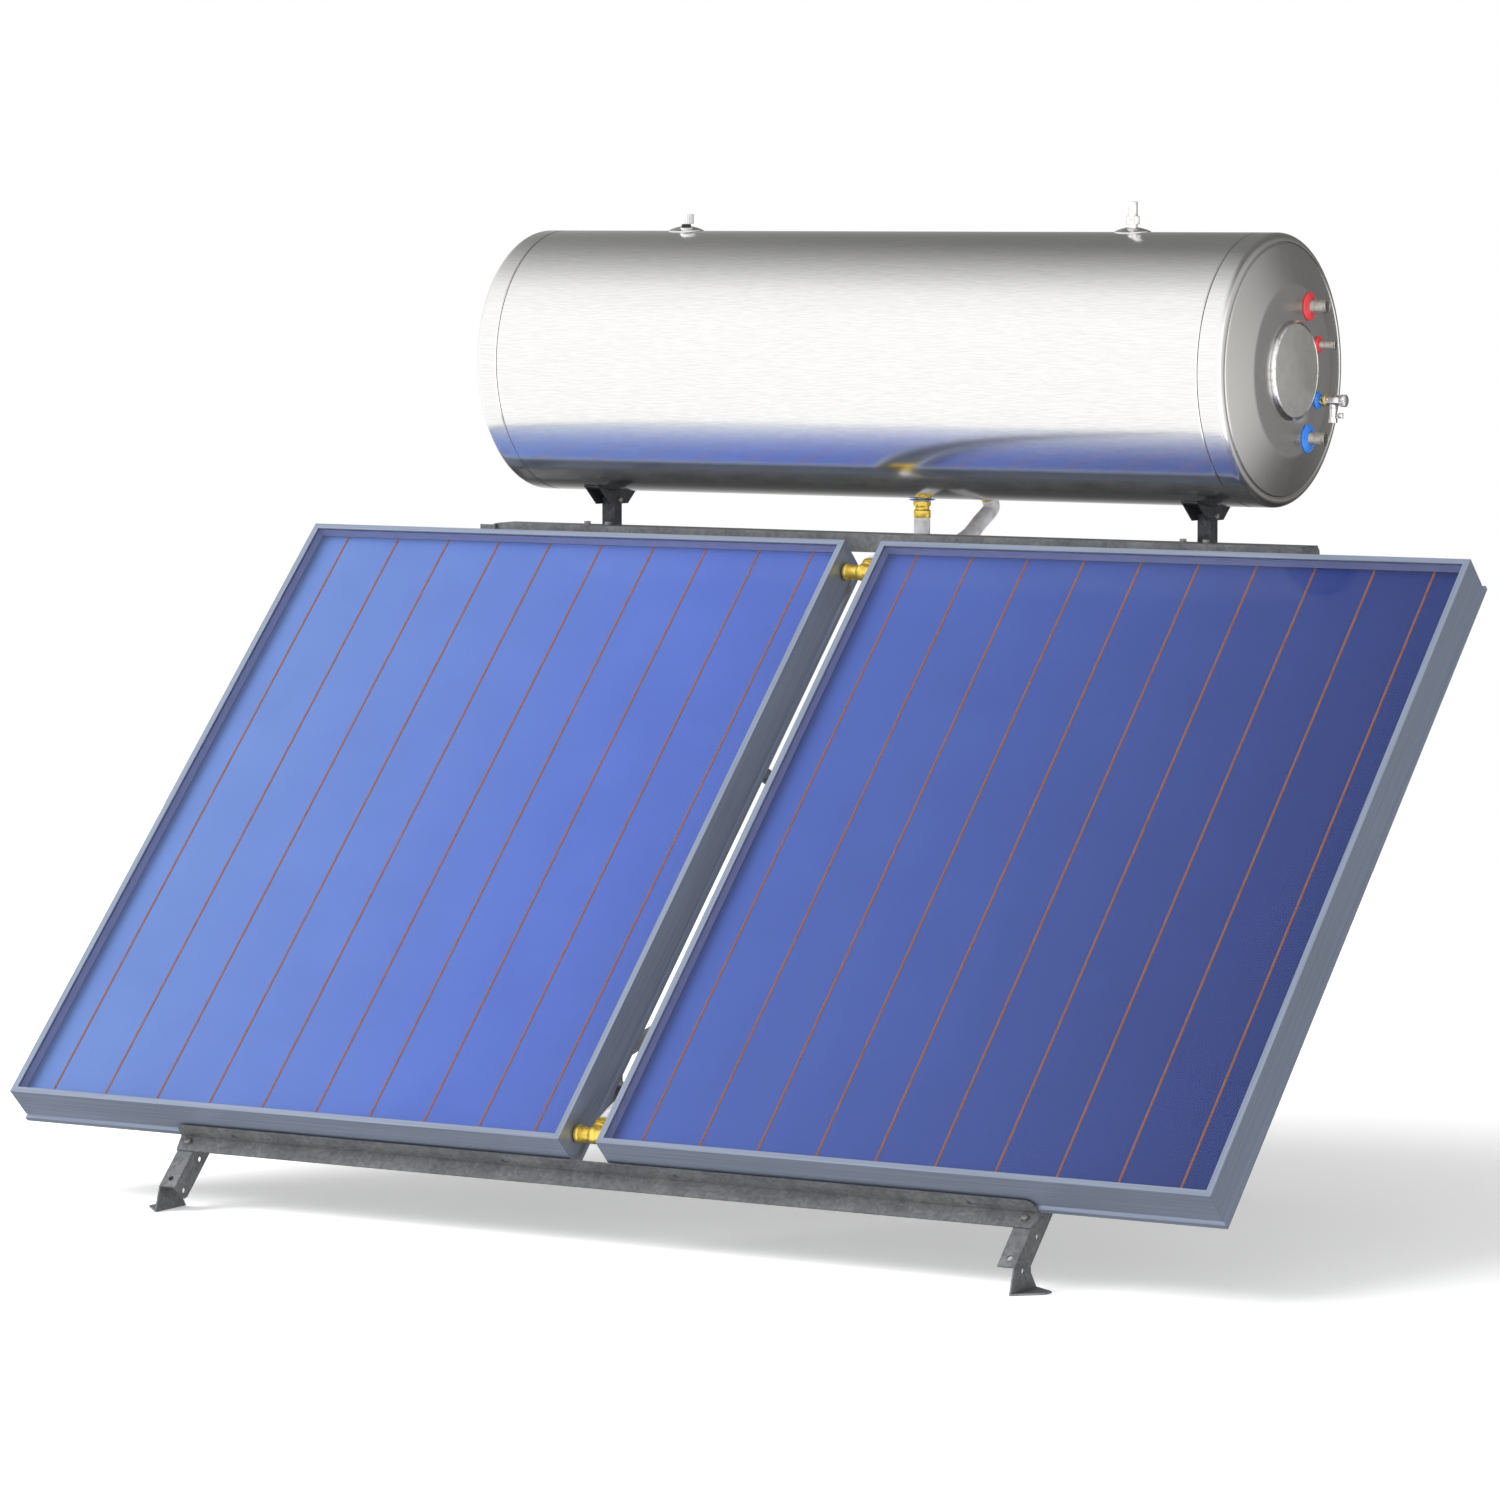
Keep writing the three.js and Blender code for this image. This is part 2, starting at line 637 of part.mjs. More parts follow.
const openCap = turned([...CAP_OUTSIDE, [FACE_X, 82], [FACE_X - 2, 82], ...CAP_INSIDE], TANK_SIDES);
place(tank, "right_end_cap", cut(openCap, ...endHoles(0.6)), FINISH.stainless);

function domePoints(radius, depth, start, stop, steps) {
  return Array.from({ length: steps + 1 }, (_, i) => {
    const r = start + ((stop - start) * i) / steps;
    return [VESSEL_HALF + depth * Math.sqrt(1 - (r / radius) ** 2), r];
  });
}

// The inner vessel: a shell with domed ends and a neck at its right end.
const neckX = VESSEL_HALF + VESSEL_DOME + 8;
const vesselInside = VESSEL_RADIUS - VESSEL_WALL;
const vesselShell = turned([
  ...mirrored(domePoints(VESSEL_RADIUS, VESSEL_DOME, VESSEL_RADIUS, 0, 4)),
  ...domePoints(VESSEL_RADIUS, VESSEL_DOME, VESSEL_RADIUS, NECK_RADIUS + 5, 3),
  [neckX - 8, NECK_RADIUS + 5],
  [neckX - 8, NECK_RADIUS + 25],
  [neckX, NECK_RADIUS + 25],
  [neckX, NECK_RADIUS],
  ...domePoints(vesselInside, VESSEL_DOME - 3, vesselInside, NECK_RADIUS, 3).reverse(),
  ...mirrored(domePoints(vesselInside, VESSEL_DOME - 3, vesselInside, 0, 4)).reverse(),
], VESSEL_SIDES);
place(tank, "inner_vessel", cut(vesselShell, ...radialHoles(0.6), ...endHoles(0.8)), FINISH.enamel);

const foamOutside = TANK_RADIUS - 4;
const foamInside = VESSEL_RADIUS + 0.6;
const foamBody = turned([
  [-RIM_X + 6, 0],
  [-RIM_X + 6, foamOutside - 18],
  [-RIM_X + 24, foamOutside],
  [RIM_X - 24, foamOutside],
  [RIM_X - 6, foamOutside - 18],
  [RIM_X - 6, NECK_RADIUS + 28],
  [VESSEL_HALF + VESSEL_DOME + 1, NECK_RADIUS + 28],
  ...domePoints(foamInside, VESSEL_DOME + 1, foamInside, NECK_RADIUS + 40, 3).reverse(),
  ...mirrored(domePoints(foamInside, VESSEL_DOME + 1, foamInside, 0, 4)).reverse(),
], VESSEL_SIDES);
place(tank, "tank_insulation", cut(foamBody, ...radialHoles(0.8), ...endHoles(0.8)), FINISH.foam);

// The service flange closes the neck and carries the heater and the anode.
const flangeX = neckX + CLEARANCE;
const flange = turned([
  [flangeX, 0],
  [flangeX, NECK_RADIUS + 24],
  [flangeX + 8, NECK_RADIUS + 24],
  [flangeX + 8, 26],
  [flangeX + 26, 26],
  [flangeX + 26, 0],
], 24);
place(tank, "service_flange", flange, FINISH.steel);

const heaterPath = new THREE.CatmullRomCurve3([
  new THREE.Vector3(flangeX - CLEARANCE, 0, 16),
  new THREE.Vector3(flangeX - 180, 0, 16),
  new THREE.Vector3(flangeX - 360, 0, 18),
  new THREE.Vector3(flangeX - 388, 0, 0),
  new THREE.Vector3(flangeX - 360, 0, -18),
  new THREE.Vector3(flangeX - 180, 0, -16),
  new THREE.Vector3(flangeX - CLEARANCE, 0, -16),
]);

function circle(radius, sides) {
  return shapeOf(
    Array.from({ length: sides }, (_, i) => {
      const turn = (2 * Math.PI * i) / sides;
      return [radius * Math.cos(turn), radius * Math.sin(turn)];
    }),
  );
}
const element = new THREE.ExtrudeGeometry(circle(5, 6), {
  extrudePath: heaterPath,
  steps: 24,
  bevelEnabled: false,
});
place(tank, "heating_element", element, FINISH.steel);
const anodeX = flangeX - CLEARANCE;
place(tank, "anode_rod", bar([anodeX, 0, 45], [anodeX - 420, 0, 45], 11, 12), FINISH.steel);

const COVER_RADIUS = 94;
const cover = turned([
  [FACE_X + CLEARANCE, COVER_RADIUS],
  [FACE_X + 4, COVER_RADIUS],
  [FACE_X + 9, COVER_RADIUS - 6],
  [FACE_X + 9, 0],
  [FACE_X + 7, 0],
  [FACE_X + 7, COVER_RADIUS - 7],
  [FACE_X + CLEARANCE, COVER_RADIUS - 4],
  [FACE_X + CLEARANCE, COVER_RADIUS],
], 24);
place(tank, "service_cover", cover, FINISH.endPlate);

// A domed ring round a pipe, against the tank's end.
function rosette(port) {
  const inner = port.outer + CLEARANCE;
  return turned([
    [FACE_X + CLEARANCE, port.rosette],
    [FACE_X + 3, port.rosette],
    [FACE_X + 6.5, inner + 4],
    [FACE_X + 7, inner],
    [FACE_X + CLEARANCE, inner],
    [FACE_X + CLEARANCE, port.rosette],
  ]);
}

function nipple(port) {
  return turned([
    [VESSEL_HALF + 20, port.outer],
    [NIPPLE_END, port.outer],
    [NIPPLE_END, port.bore],
    [VESSEL_HALF + 20, port.bore],
    [VESSEL_HALF + 20, port.outer],
  ]);
}

for (const [name, port] of Object.entries(PORTS)) {
  const colour = name.startsWith("hot") ? FINISH.red : FINISH.blue;
  place(tank, name + "_rosette", rosette(port), colour).position.set(0, port.y, port.z);
  place(tank, name + "_nipple", nipple(port), FINISH.steel).position.set(0, port.y, port.z);
}
const coldLoopRosette = place(tank, "cold_loop_rosette", rosette(VALVE_PORT), FINISH.blue);
coldLoopRosette.position.set(0, VALVE_PORT.y, VALVE_PORT.z);

// The safety valve: a barrel on the pipe, a hexagonal end and a discharge branch pointing down.
const BRANCH_X = FACE_X + 32;
const BRANCH_RADIUS = 7;
const KNOB_Z = -28;
const valveBody = joined(
  bar([VESSEL_HALF + 20, 0, 0], [FACE_X + 20, 0, 0], VALVE_PORT.outer, 16),
  bar([FACE_X + 16, 0, 0], [FACE_X + 50, 0, 0], 10, 16),
  bar([FACE_X + 48, 0, 0], [FACE_X + 60, 0, 0], 11.5, 6),
  bar([BRANCH_X, 0, 0], [BRANCH_X, 0, -34], BRANCH_RADIUS),
  bar([BRANCH_X, 0, -34], [BRANCH_X, 0, -42], BRANCH_RADIUS + 1.5, 6),
);
const outlet = bar([BRANCH_X, 0, -16], [BRANCH_X, 0, -50], 4.5, 12);
const safetyValve = place(tank, "safety_valve", cut(valveBody, outlet), FINISH.chrome);
safetyValve.position.set(0, VALVE_PORT.y, VALVE_PORT.z);

// The valve's test knob turns about the branch's side.
const knobX = BRANCH_X + BRANCH_RADIUS + CLEARANCE;
const knob = joined(
  bar([knobX, 0, KNOB_Z], [knobX + 5, 0, KNOB_Z], 2.5, 12),
  bar([knobX + 4, 0, KNOB_Z], [knobX + 11, 0, KNOB_Z], 5, 12),
  box(knobX + 8, knobX + 14, -1.2, 1.2, KNOB_Z - 6, KNOB_Z + 6),
);
place(tank, "test_knob", knob, FINISH.chrome).position.set(0, VALVE_PORT.y, VALVE_PORT.z);

// Fittings on top: a domed collar round a stem. Heights are from the tank's axis.
const SKIN = TANK_RADIUS;
const collarProfile = [
  [SKIN + 0.3, 36],
  [SKIN + 3.5, 30],
  [SKIN + 7, 20],
  [SKIN + 9, 9.5],
];
const ventFitting = turnedUp([
  [VESSEL_RADIUS - 6, 9.5],
  [VESSEL_RADIUS - 6, 5],
  [SKIN + 20, 5],
  [SKIN + 20, 9.5],
  ...collarProfile.slice().reverse(),
  [SKIN + 0.3, 9.5],
  [VESSEL_RADIUS - 6, 9.5],
].reverse());
place(tank, "vent_fitting", ventFitting, FINISH.steel).position.set(VENT_X, 0, 0);

const capSides = 12;
const ventCap = turnedUp([
  [SKIN + 13, 15],
  [SKIN + 31, 15.5],
  [SKIN + 33, 13.5],
  [SKIN + 33, 0],
  [SKIN + 21, 0],
  [SKIN + 21, 9.9],
  [SKIN + 13, 9.9],
  [SKIN + 13, 15],
], capSides);
place(tank, "vent_cap", ventCap, FINISH.cap).position.set(VENT_X, 0, 0);

const reliefTube = turnedUp([
  [VESSEL_RADIUS - 6, 9],
  [VESSEL_RADIUS - 6, 6],
  [SKIN + 57, 6],
  [SKIN + 57, 9],
  ...collarProfile.slice().reverse(),
  [SKIN + 0.3, 9],
  [VESSEL_RADIUS - 6, 9],
].reverse());
const reliefNut = bar([0, 0, SKIN + 14], [0, 0, SKIN + 30], 14.5, 6);
const reliefBore = bar([0, 0, SKIN + 10], [0, 0, SKIN + 34], 6.5);
const reliefFitting = joined(reliefTube, cut(reliefNut, reliefBore));
place(tank, "relief_fitting", reliefFitting, FINISH.steel).position.set(RELIEF_X, 0, 0);

// A brass union under the tank. Heights are from the tank's axis, down.
const union = turnedUp([
  [VESSEL_RADIUS - 6, 0],
  [VESSEL_RADIUS - 6, 12],
  [SKIN + 5, 12],
  [SKIN + 5, 17],
  [SKIN + 15, 17],
  [SKIN + 19, 14],
  [SKIN + 23, 16.5],
  [SKIN + 38, 16.5],
  [SKIN + 38, 0],
].map(([z, r]) => [-z, r]).reverse());
const coldUnion = place(tank, "cold_union", union, FINISH.brass);
coldUnion.position.x = COLD_UNION_X;
const hotUnion = place(tank, "hot_union", union.clone(), FINISH.brass);
hotUnion.position.x = HOT_UNION_X;
hotUnion.rotation.x = HOT_UNION_ANGLE;

const unionRosette = turnedUp([
  [-SKIN - 0.5, 12.3],
  [-SKIN - 4.5, 12.3],
  [-SKIN - 4.5, 20],
  [-SKIN - 2.6, 26],
  [-SKIN - 1.8, 26],
  [-SKIN - 0.5, 12.3],
]);
place(tank, "cold_union_rosette", unionRosette, FINISH.blue).position.set(COLD_UNION_X, 0, 0);

// --- insulated pipes ----------------------------------------------------------------------------

const HOSE_RADIUS = 16;

// A pipe through points given from the collectors' lower front edge: x, back, and up from the ground.
function hose(points, steps) {
  const path = new THREE.CatmullRomCurve3(
    points.map(([x, y, z]) => new THREE.Vector3(x, SLOPE_Y + y, z)),
    false,
    "centripetal",
  );
  return new THREE.ExtrudeGeometry(circle(HOSE_RADIUS, 8), {
    extrudePath: path,
    steps,
    bevelEnabled: false,
  });
}

function slopePoint(x, along, out) {
  const [y, z] = onSlope(along, out);
  return [x, y - SLOPE_Y, z];
}

// A point on the axis of a tee's branch.
function branchPoint(along, branch, distance) {
  return slopePoint(0, along + branch[0] * distance, -HEADER_DEPTH + branch[1] * distance);
}

function underTank(x, angle, distance) {
  const r = TANK_RADIUS + distance;
  return [x, TANK_Y + r * Math.sin(angle), TANK_Z - r * Math.cos(angle)];
}

const UNION_END = 38 + CLEARANCE;
const coldPipe = hose([
  underTank(COLD_UNION_X, 0, UNION_END),
  underTank(COLD_UNION_X, 0, 62),
  [44, 1164, 1190],
  [41, 1148, 1140],
  [36, 1085, 1105],
  slopePoint(30, 1200, -122),
  slopePoint(28, 900, -120),
  slopePoint(24, 500, -120),
  slopePoint(14, 240, -118),
  branchPoint(HEADER_INSET, LOWER_BRANCH, 85),
  branchPoint(HEADER_INSET, LOWER_BRANCH, BRANCH_LENGTH + CLEARANCE),
], 44);
place(heater, "cold_pipe", coldPipe, FINISH.hose);

const hotPipe = hose([
  underTank(HOT_UNION_X, HOT_UNION_ANGLE, UNION_END),
  underTank(HOT_UNION_X, HOT_UNION_ANGLE, 58),
  [104, 1289, 1252],
  [100, 1250, 1226],
  [90, 1201, 1207],
  [58, 1118, 1181],
  [15, 1092, 1171],
  branchPoint(UPPER_TEE_ALONG, UPPER_BRANCH, BRANCH_LENGTH + 14),
  branchPoint(UPPER_TEE_ALONG, UPPER_BRANCH, BRANCH_LENGTH + CLEARANCE),
], 28);
place(heater, "hot_pipe", hotPipe, FINISH.hose);

export default heater;
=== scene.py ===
"""A thermosiphon solar water heater: two flat-plate collectors and a tank on a galvanised stand."""

import math

import bmesh
import bpy
from mathutils import Matrix, Vector

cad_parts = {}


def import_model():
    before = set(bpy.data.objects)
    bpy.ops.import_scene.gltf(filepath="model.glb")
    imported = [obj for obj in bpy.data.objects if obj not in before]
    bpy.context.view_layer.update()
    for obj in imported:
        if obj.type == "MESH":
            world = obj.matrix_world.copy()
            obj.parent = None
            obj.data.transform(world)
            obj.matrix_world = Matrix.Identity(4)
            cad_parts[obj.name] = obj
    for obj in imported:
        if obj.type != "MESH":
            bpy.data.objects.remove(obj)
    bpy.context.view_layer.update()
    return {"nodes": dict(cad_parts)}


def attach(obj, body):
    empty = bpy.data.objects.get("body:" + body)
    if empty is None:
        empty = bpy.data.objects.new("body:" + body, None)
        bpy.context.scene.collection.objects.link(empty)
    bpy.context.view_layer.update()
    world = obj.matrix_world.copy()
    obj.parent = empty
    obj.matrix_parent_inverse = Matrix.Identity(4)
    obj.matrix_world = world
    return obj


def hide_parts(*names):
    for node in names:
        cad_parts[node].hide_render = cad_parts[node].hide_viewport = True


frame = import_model()

# Sizes in metres, as in the frame.
TILT = math.radians(45.36)
SLOPE_ORIGIN = Vector((0, -0.69125, 0.196))
TANK_AXIS = Vector((0, 0.47375, 1.556))
TANK_RADIUS = 0.2555
SEAM_X = 0.766
RIM_X = 0.816
FACE_X = 0.836
COLLECTOR_X = 0.6545
COLLECTOR_HALF_WIDTH = 0.615
COLLECTOR_LENGTH = 1.446
HEADER_OUT = -0.042
LOWER_HEADER = 0.045
UPPER_HEADER = 1.401
LOWER_BRANCH = (0.9397, -0.342)
UPPER_BRANCH = (0.9063, -0.4226)
ABSORBER_TOP = -0.0240
GLASS_UNDERSIDE = -0.0062
RISER_COUNT = 10
RISER_PITCH = 0.120
LEG_X = 0.660
COLD_UNION_X = 0.045
HOT_UNION_X = 0.116
HOT_UNION_ANGLE = math.radians(28)
VENT_X = -0.487
RELIEF_X = 0.499
VALVE_BRANCH_X = 0.032
KNOB_DROP = 0.028
THREAD_PITCH = 0.0018
THREAD_DEPTH = 0.0009
PIPE_RADIUS = 0.0158
LEG_GRIP = 0.0323
LEGS = (("left", -LEG_X), ("right", LEG_X))
# Each port: place across and up from the tank's axis, then its pipe's and its rosette's radius.
PORTS = {
    "hot_outlet": (0.066, 0.118, 0.013, 0.027),
    "hot_loop": (0.104, 0.046, 0.009, 0.0165),
    "cold_loop": (0.104, -0.058, 0.009, 0.0165),
    "cold_inlet": (0.063, -0.128, 0.013, 0.027),
}
ALONG_SLOPE = (TILT, 0, 0)
Z_AXIS = Vector((0, 0, 1))

# ---- Materials ----

WHITE = (1, 1, 1)
ANODISED = (0.25, 0.29, 0.38)
# The colour sockets of a Mix node, which shares its names between several types.
MIX_FACTOR = 0
MIX_FIRST = 6
MIX_SECOND = 7
MIX_COLOUR = 2


class Surface:
    """A Principled material, and the texture nodes that feed its colour, roughness and bump."""

    def __init__(self, name, colour, roughness, metallic=0.0, **sockets):
        self.material = bpy.data.materials.new(name)
        self.material.use_nodes = True
        self.tree = self.material.node_tree
        self.shader = self.tree.nodes["Principled BSDF"]
        self.shader.inputs["Base Color"].default_value = (*colour, 1)
        self.shader.inputs["Roughness"].default_value = roughness
        self.shader.inputs["Metallic"].default_value = metallic
        for socket, value in sockets.items():
            self.shader.inputs[socket.replace("_", " ")].default_value = value
        self.place = self.node("ShaderNodeTexCoord").outputs["Object"]
        self.normal = None

    def node(self, kind, **settings):
        made = self.tree.nodes.new(kind)
        for key, value in settings.items():
            setattr(made, key, value)
        return made

    def link(self, out, into):
        self.tree.links.new(out, into)

    def mapped(self, grains, turn=(0, 0, 0)):
        """Places scaled to grains per metre: one number, or one for each axis."""
        each = grains if isinstance(grains, tuple) else (grains, grains, grains)
        mapping = self.node("ShaderNodeMapping", vector_type="TEXTURE")
        mapping.inputs["Rotation"].default_value = turn
        mapping.inputs["Scale"].default_value = [1 / count for count in each]
        self.link(self.place, mapping.inputs["Vector"])
        return mapping.outputs["Vector"]

    def noise(self, grains, detail, turn=(0, 0, 0)):
        made = self.node("ShaderNodeTexNoise")
        made.inputs["Scale"].default_value = 1.0
        made.inputs["Detail"].default_value = detail
        self.link(self.mapped(grains, turn), made.inputs["Vector"])
        return made.outputs["Fac"]

    def cells(self, grains, output):
        made = self.node("ShaderNodeTexVoronoi")
        made.inputs["Scale"].default_value = 1.0
        self.link(self.mapped(grains), made.inputs["Vector"])
        return made.outputs[output]

    def waves(self, grains, turn, direction):
        made = self.node("ShaderNodeTexWave", wave_type="BANDS", bands_direction=direction)
        made.inputs["Scale"].default_value = 1.0
        self.link(self.mapped(grains, turn), made.inputs["Vector"])
        return made.outputs["Fac"]

    def ramp(self, factor, low, high, start, stop):
        made = self.node("ShaderNodeValToRGB")
        first, last = made.color_ramp.elements
        first.position, first.color = start, (*low, 1)
        last.position, last.color = stop, (*high, 1)
        self.link(factor, made.inputs["Fac"])
        return made.outputs["Color"]

    def colour(self, out):
        self.link(out, self.shader.inputs["Base Color"])

    def multiplied(self, first, second):
        made = self.node("ShaderNodeMix", data_type="RGBA", blend_type="MULTIPLY")
        made.inputs[MIX_FACTOR].default_value = 1.0
        self.link(first, made.inputs[MIX_FIRST])
        self.link(second, made.inputs[MIX_SECOND])
        return made.outputs[MIX_COLOUR]

    def roughness(self, factor, low, high):
        made = self.node("ShaderNodeMapRange")
        made.inputs["To Min"].default_value = low
        made.inputs["To Max"].default_value = high
        self.link(factor, made.inputs["Value"])
        self.link(made.outputs["Result"], self.shader.inputs["Roughness"])

    def bump(self, height, distance, strength):
        made = self.node("ShaderNodeBump")
        made.inputs["Strength"].default_value = strength
        made.inputs["Distance"].default_value = distance
        self.link(height, made.inputs["Height"])
        if self.normal is not None:
            self.link(self.normal, made.inputs["Normal"])
        self.normal = made.outputs["Normal"]
        self.link(self.normal, self.shader.inputs["Normal"])


def galvanised(name, dark, light):
    """Hot-dipped zinc: crystal patches of different greys, under soft white bloom."""
    made = Surface(name, light, 0.5, 0.55)
    spangle = made.node("ShaderNodeSeparateColor")
    made.link(made.cells(150, "Color"), spangle.inputs["Color"])
    patches = made.ramp(spangle.outputs["Red"], dark, light, 0.0, 1.0)
    bloom = made.ramp(made.noise(16, 6.0), (0.72, 0.73, 0.75), WHITE, 0.35, 0.65)
    made.colour(made.multiplied(patches, bloom))
    made.roughness(made.noise(40, 4.0), 0.32, 0.66)
    made.bump(made.noise(260, 2.0), 0.0003, 0.5)
    return made.material


def anodised(name, grains, turn=(0, 0, 0)):
    """Anodised profile with fine drawn lines along one axis."""
    roughness = 0.36
    made = Surface(name, ANODISED, roughness, 0.5)
    lines = made.noise(grains, 2.0, turn)
    darker = tuple(c * 0.82 for c in ANODISED)
    made.colour(made.ramp(lines, darker, ANODISED, 0.35, 0.6))
    made.roughness(made.noise(9, 3.0), roughness * 0.8, roughness * 1.25)
    made.bump(lines, 0.0001, 0.6)
    return made.material


def absorber_blue_painted_light():
    """Selective coating: blue, with a fine woven grain and slow mottling, and painted light across it:
    paler towards the left as a painted sheen, darker towards the right as painted shade.
    """
    made = Surface("absorber_blue_painted_light", (0.06, 0.10, 0.42), 0.45, 0.3, Specular_IOR_Level=0.25)
    shade = (0.90, 0.90, 0.93)
    weave = made.multiplied(
        made.ramp(made.waves(260, ALONG_SLOPE, "X"), shade, WHITE, 0.2, 0.8),
        made.ramp(made.waves(260, ALONG_SLOPE, "Y"), shade, WHITE, 0.2, 0.8),
    )
    span = made.node("ShaderNodeSeparateXYZ")
    made.link(made.place, span.inputs["Vector"])
    half_span = 1.3
    across = made.node("ShaderNodeMapRange")
    across.inputs["From Min"].default_value = -half_span
    across.inputs["From Max"].default_value = half_span
    made.link(span.outputs["X"], across.inputs["Value"])
    # Painted light: the blue runs from a paler painted sheen at the left to darker painted shade at the
    # right.
    left = (0.120, 0.215, 0.49)
    right = (0.009, 0.025, 0.145)
    tone = made.ramp(across.outputs["Result"], left, right, 0.0, 1.0)
    middle = tone.node.color_ramp.elements.new(0.38)
    middle.color = (0.070, 0.134, 0.47, 1)
    mottle = made.ramp(made.noise(6, 4.0), shade, WHITE, 0.3, 0.7)
    speckle = made.ramp(made.noise(420, 2.0), (0.87, 0.88, 0.92), WHITE, 0.35, 0.65)
    grain = made.multiplied(made.multiplied(weave, speckle), mottle)
    made.colour(made.multiplied(tone, grain))
    made.roughness(made.noise(60, 3.0), 0.40, 0.55)
    made.bump(made.noise(300, 2.0), 0.0002, 0.12)
    return made.material


def polished_steel():
    """The tank's sheet: bright, with a fine rolled grain along the axis and faint dents."""
    made = Surface("polished_steel", (0.86, 0.855, 0.845), 0.2, 1.0)
    grain = made.noise((30, 1400, 1400), 2.0)
    made.colour(made.ramp(grain, (0.72, 0.715, 0.705), (0.84, 0.835, 0.82), 0.35, 0.65))
    made.roughness(made.noise(700, 2.0), 0.12, 0.23)
    made.bump(made.noise(900, 2.0), 0.00003, 0.5)
    made.bump(made.noise(5, 2.0), 0.0006, 0.4)
    return made.material


def spun_steel():
    """The end plates: the same sheet, spun, so its grain runs round the axis."""
    made = Surface("spun_steel", (0.62, 0.61, 0.59), 0.28, 1.0)
    centred = made.node("ShaderNodeMapping", vector_type="POINT")
    centred.inputs["Location"].default_value = (0, -TANK_AXIS.y, -TANK_AXIS.z)
    made.link(made.place, centred.inputs["Vector"])
    rings = made.node("ShaderNodeTexWave", wave_type="RINGS", rings_direction="X")
    rings.inputs["Scale"].default_value = 160
    rings.inputs["Distortion"].default_value = 0.4
    made.link(centred.outputs["Vector"], rings.inputs["Vector"])
    made.colour(made.ramp(rings.outputs["Fac"], (0.56, 0.55, 0.535), (0.66, 0.65, 0.63), 0.2, 0.8))
    made.roughness(made.noise(60, 3.0), 0.24, 0.36)
    made.bump(rings.outputs["Fac"], 0.00004, 0.5)
    return made.material


def cast_metal(name, colour, roughness, grain, metallic=1.0):
    """Cast or turned metal with a slight tarnish."""
    made = Surface(name, colour, roughness, metallic)
    darker = (colour[0] * 0.72, colour[1] * 0.66, colour[2] * 0.6)
    made.colour(made.ramp(made.noise(130, 4.0), darker, colour, 0.28, 0.55))
    made.roughness(made.noise(220, 3.0), roughness * 0.75, roughness * 1.5)
    made.bump(made.noise(grain, 3.0), 0.0001, 0.4)
    return made.material


def moulded(name, colour, roughness, grain=1500, **sockets):
    """Moulded plastic or paint: an even colour with fine grain and slight fading."""
    made = Surface(name, colour, roughness, **sockets)
    faded = tuple(min(1.0, c * 0.85 + 0.02) for c in colour)
    made.colour(made.ramp(made.noise(50, 4.0), faded, colour, 0.3, 0.6))
    made.roughness(made.noise(150, 3.0), roughness * 0.8, roughness * 1.3)
    made.bump(made.noise(grain, 2.0), 0.00008, 0.4)
    return made.material


def pipe_sleeve():
    """Closed-cell foam sleeve with fine wrinkles."""
    made = Surface("pipe_sleeve", (0.66, 0.65, 0.67), 0.55, Sheen_Weight=0.2)
    stains = made.noise(60, 5.0)
    made.colour(made.ramp(stains, (0.50, 0.49, 0.52), (0.74, 0.73, 0.75), 0.3, 0.6))
    made.bump(made.noise((110, 260, 260), 3.0), 0.0006, 0.6)
    return made.material


def mineral_wool():
    """Yellow wool in thin layers."""
    made = Surface("mineral_wool_yellow", (0.62, 0.50, 0.16), 0.95)
    layers = made.noise((90, 90, 900), 6.0)
    made.colour(made.ramp(layers, (0.42, 0.32, 0.09), (0.74, 0.62, 0.25), 0.3, 0.7))
    made.bump(made.noise((200, 200, 900), 5.0), 0.002, 0.8)
    return made.material


def clear_glass():
    """Low-iron solar glass: clear from straight on, and a mirror at a glancing angle."""
    made = Surface("solar_glass", (0.92, 0.96, 1.0), 0.08, 1.0)
    facing = made.node("ShaderNodeLayerWeight")
    glancing = made.node("ShaderNodeMath", operation="POWER")
    glancing.inputs[1].default_value = 5.0
    made.link(facing.outputs["Facing"], glancing.inputs[0])
    share = made.node("ShaderNodeMapRange")
    share.inputs["To Min"].default_value = 0.02
    made.link(glancing.outputs["Value"], share.inputs["Value"])
    made.link(share.outputs["Result"], made.shader.inputs["Alpha"])
    made.roughness(made.noise(15, 3.0), 0.05, 0.11)
    return made.material


def embossed_sheet():
    """Stucco-embossed aluminium on the collectors' backs, with painted shade: darker in the hollows of
    the embossing.
    """
    made = Surface("embossed_sheet", (0.72, 0.73, 0.74), 0.38, 1.0)
    emboss_and_painted_shade = made.cells(140, "Distance")
    # Painted shade: the colour is darker where the embossing is lowest, in its hollows.
    made.colour(made.ramp(emboss_and_painted_shade, (0.60, 0.61, 0.62), (0.78, 0.79, 0.80), 0.1, 0.6))
    made.bump(emboss_and_painted_shade, 0.0008, 0.7)
    return made.material


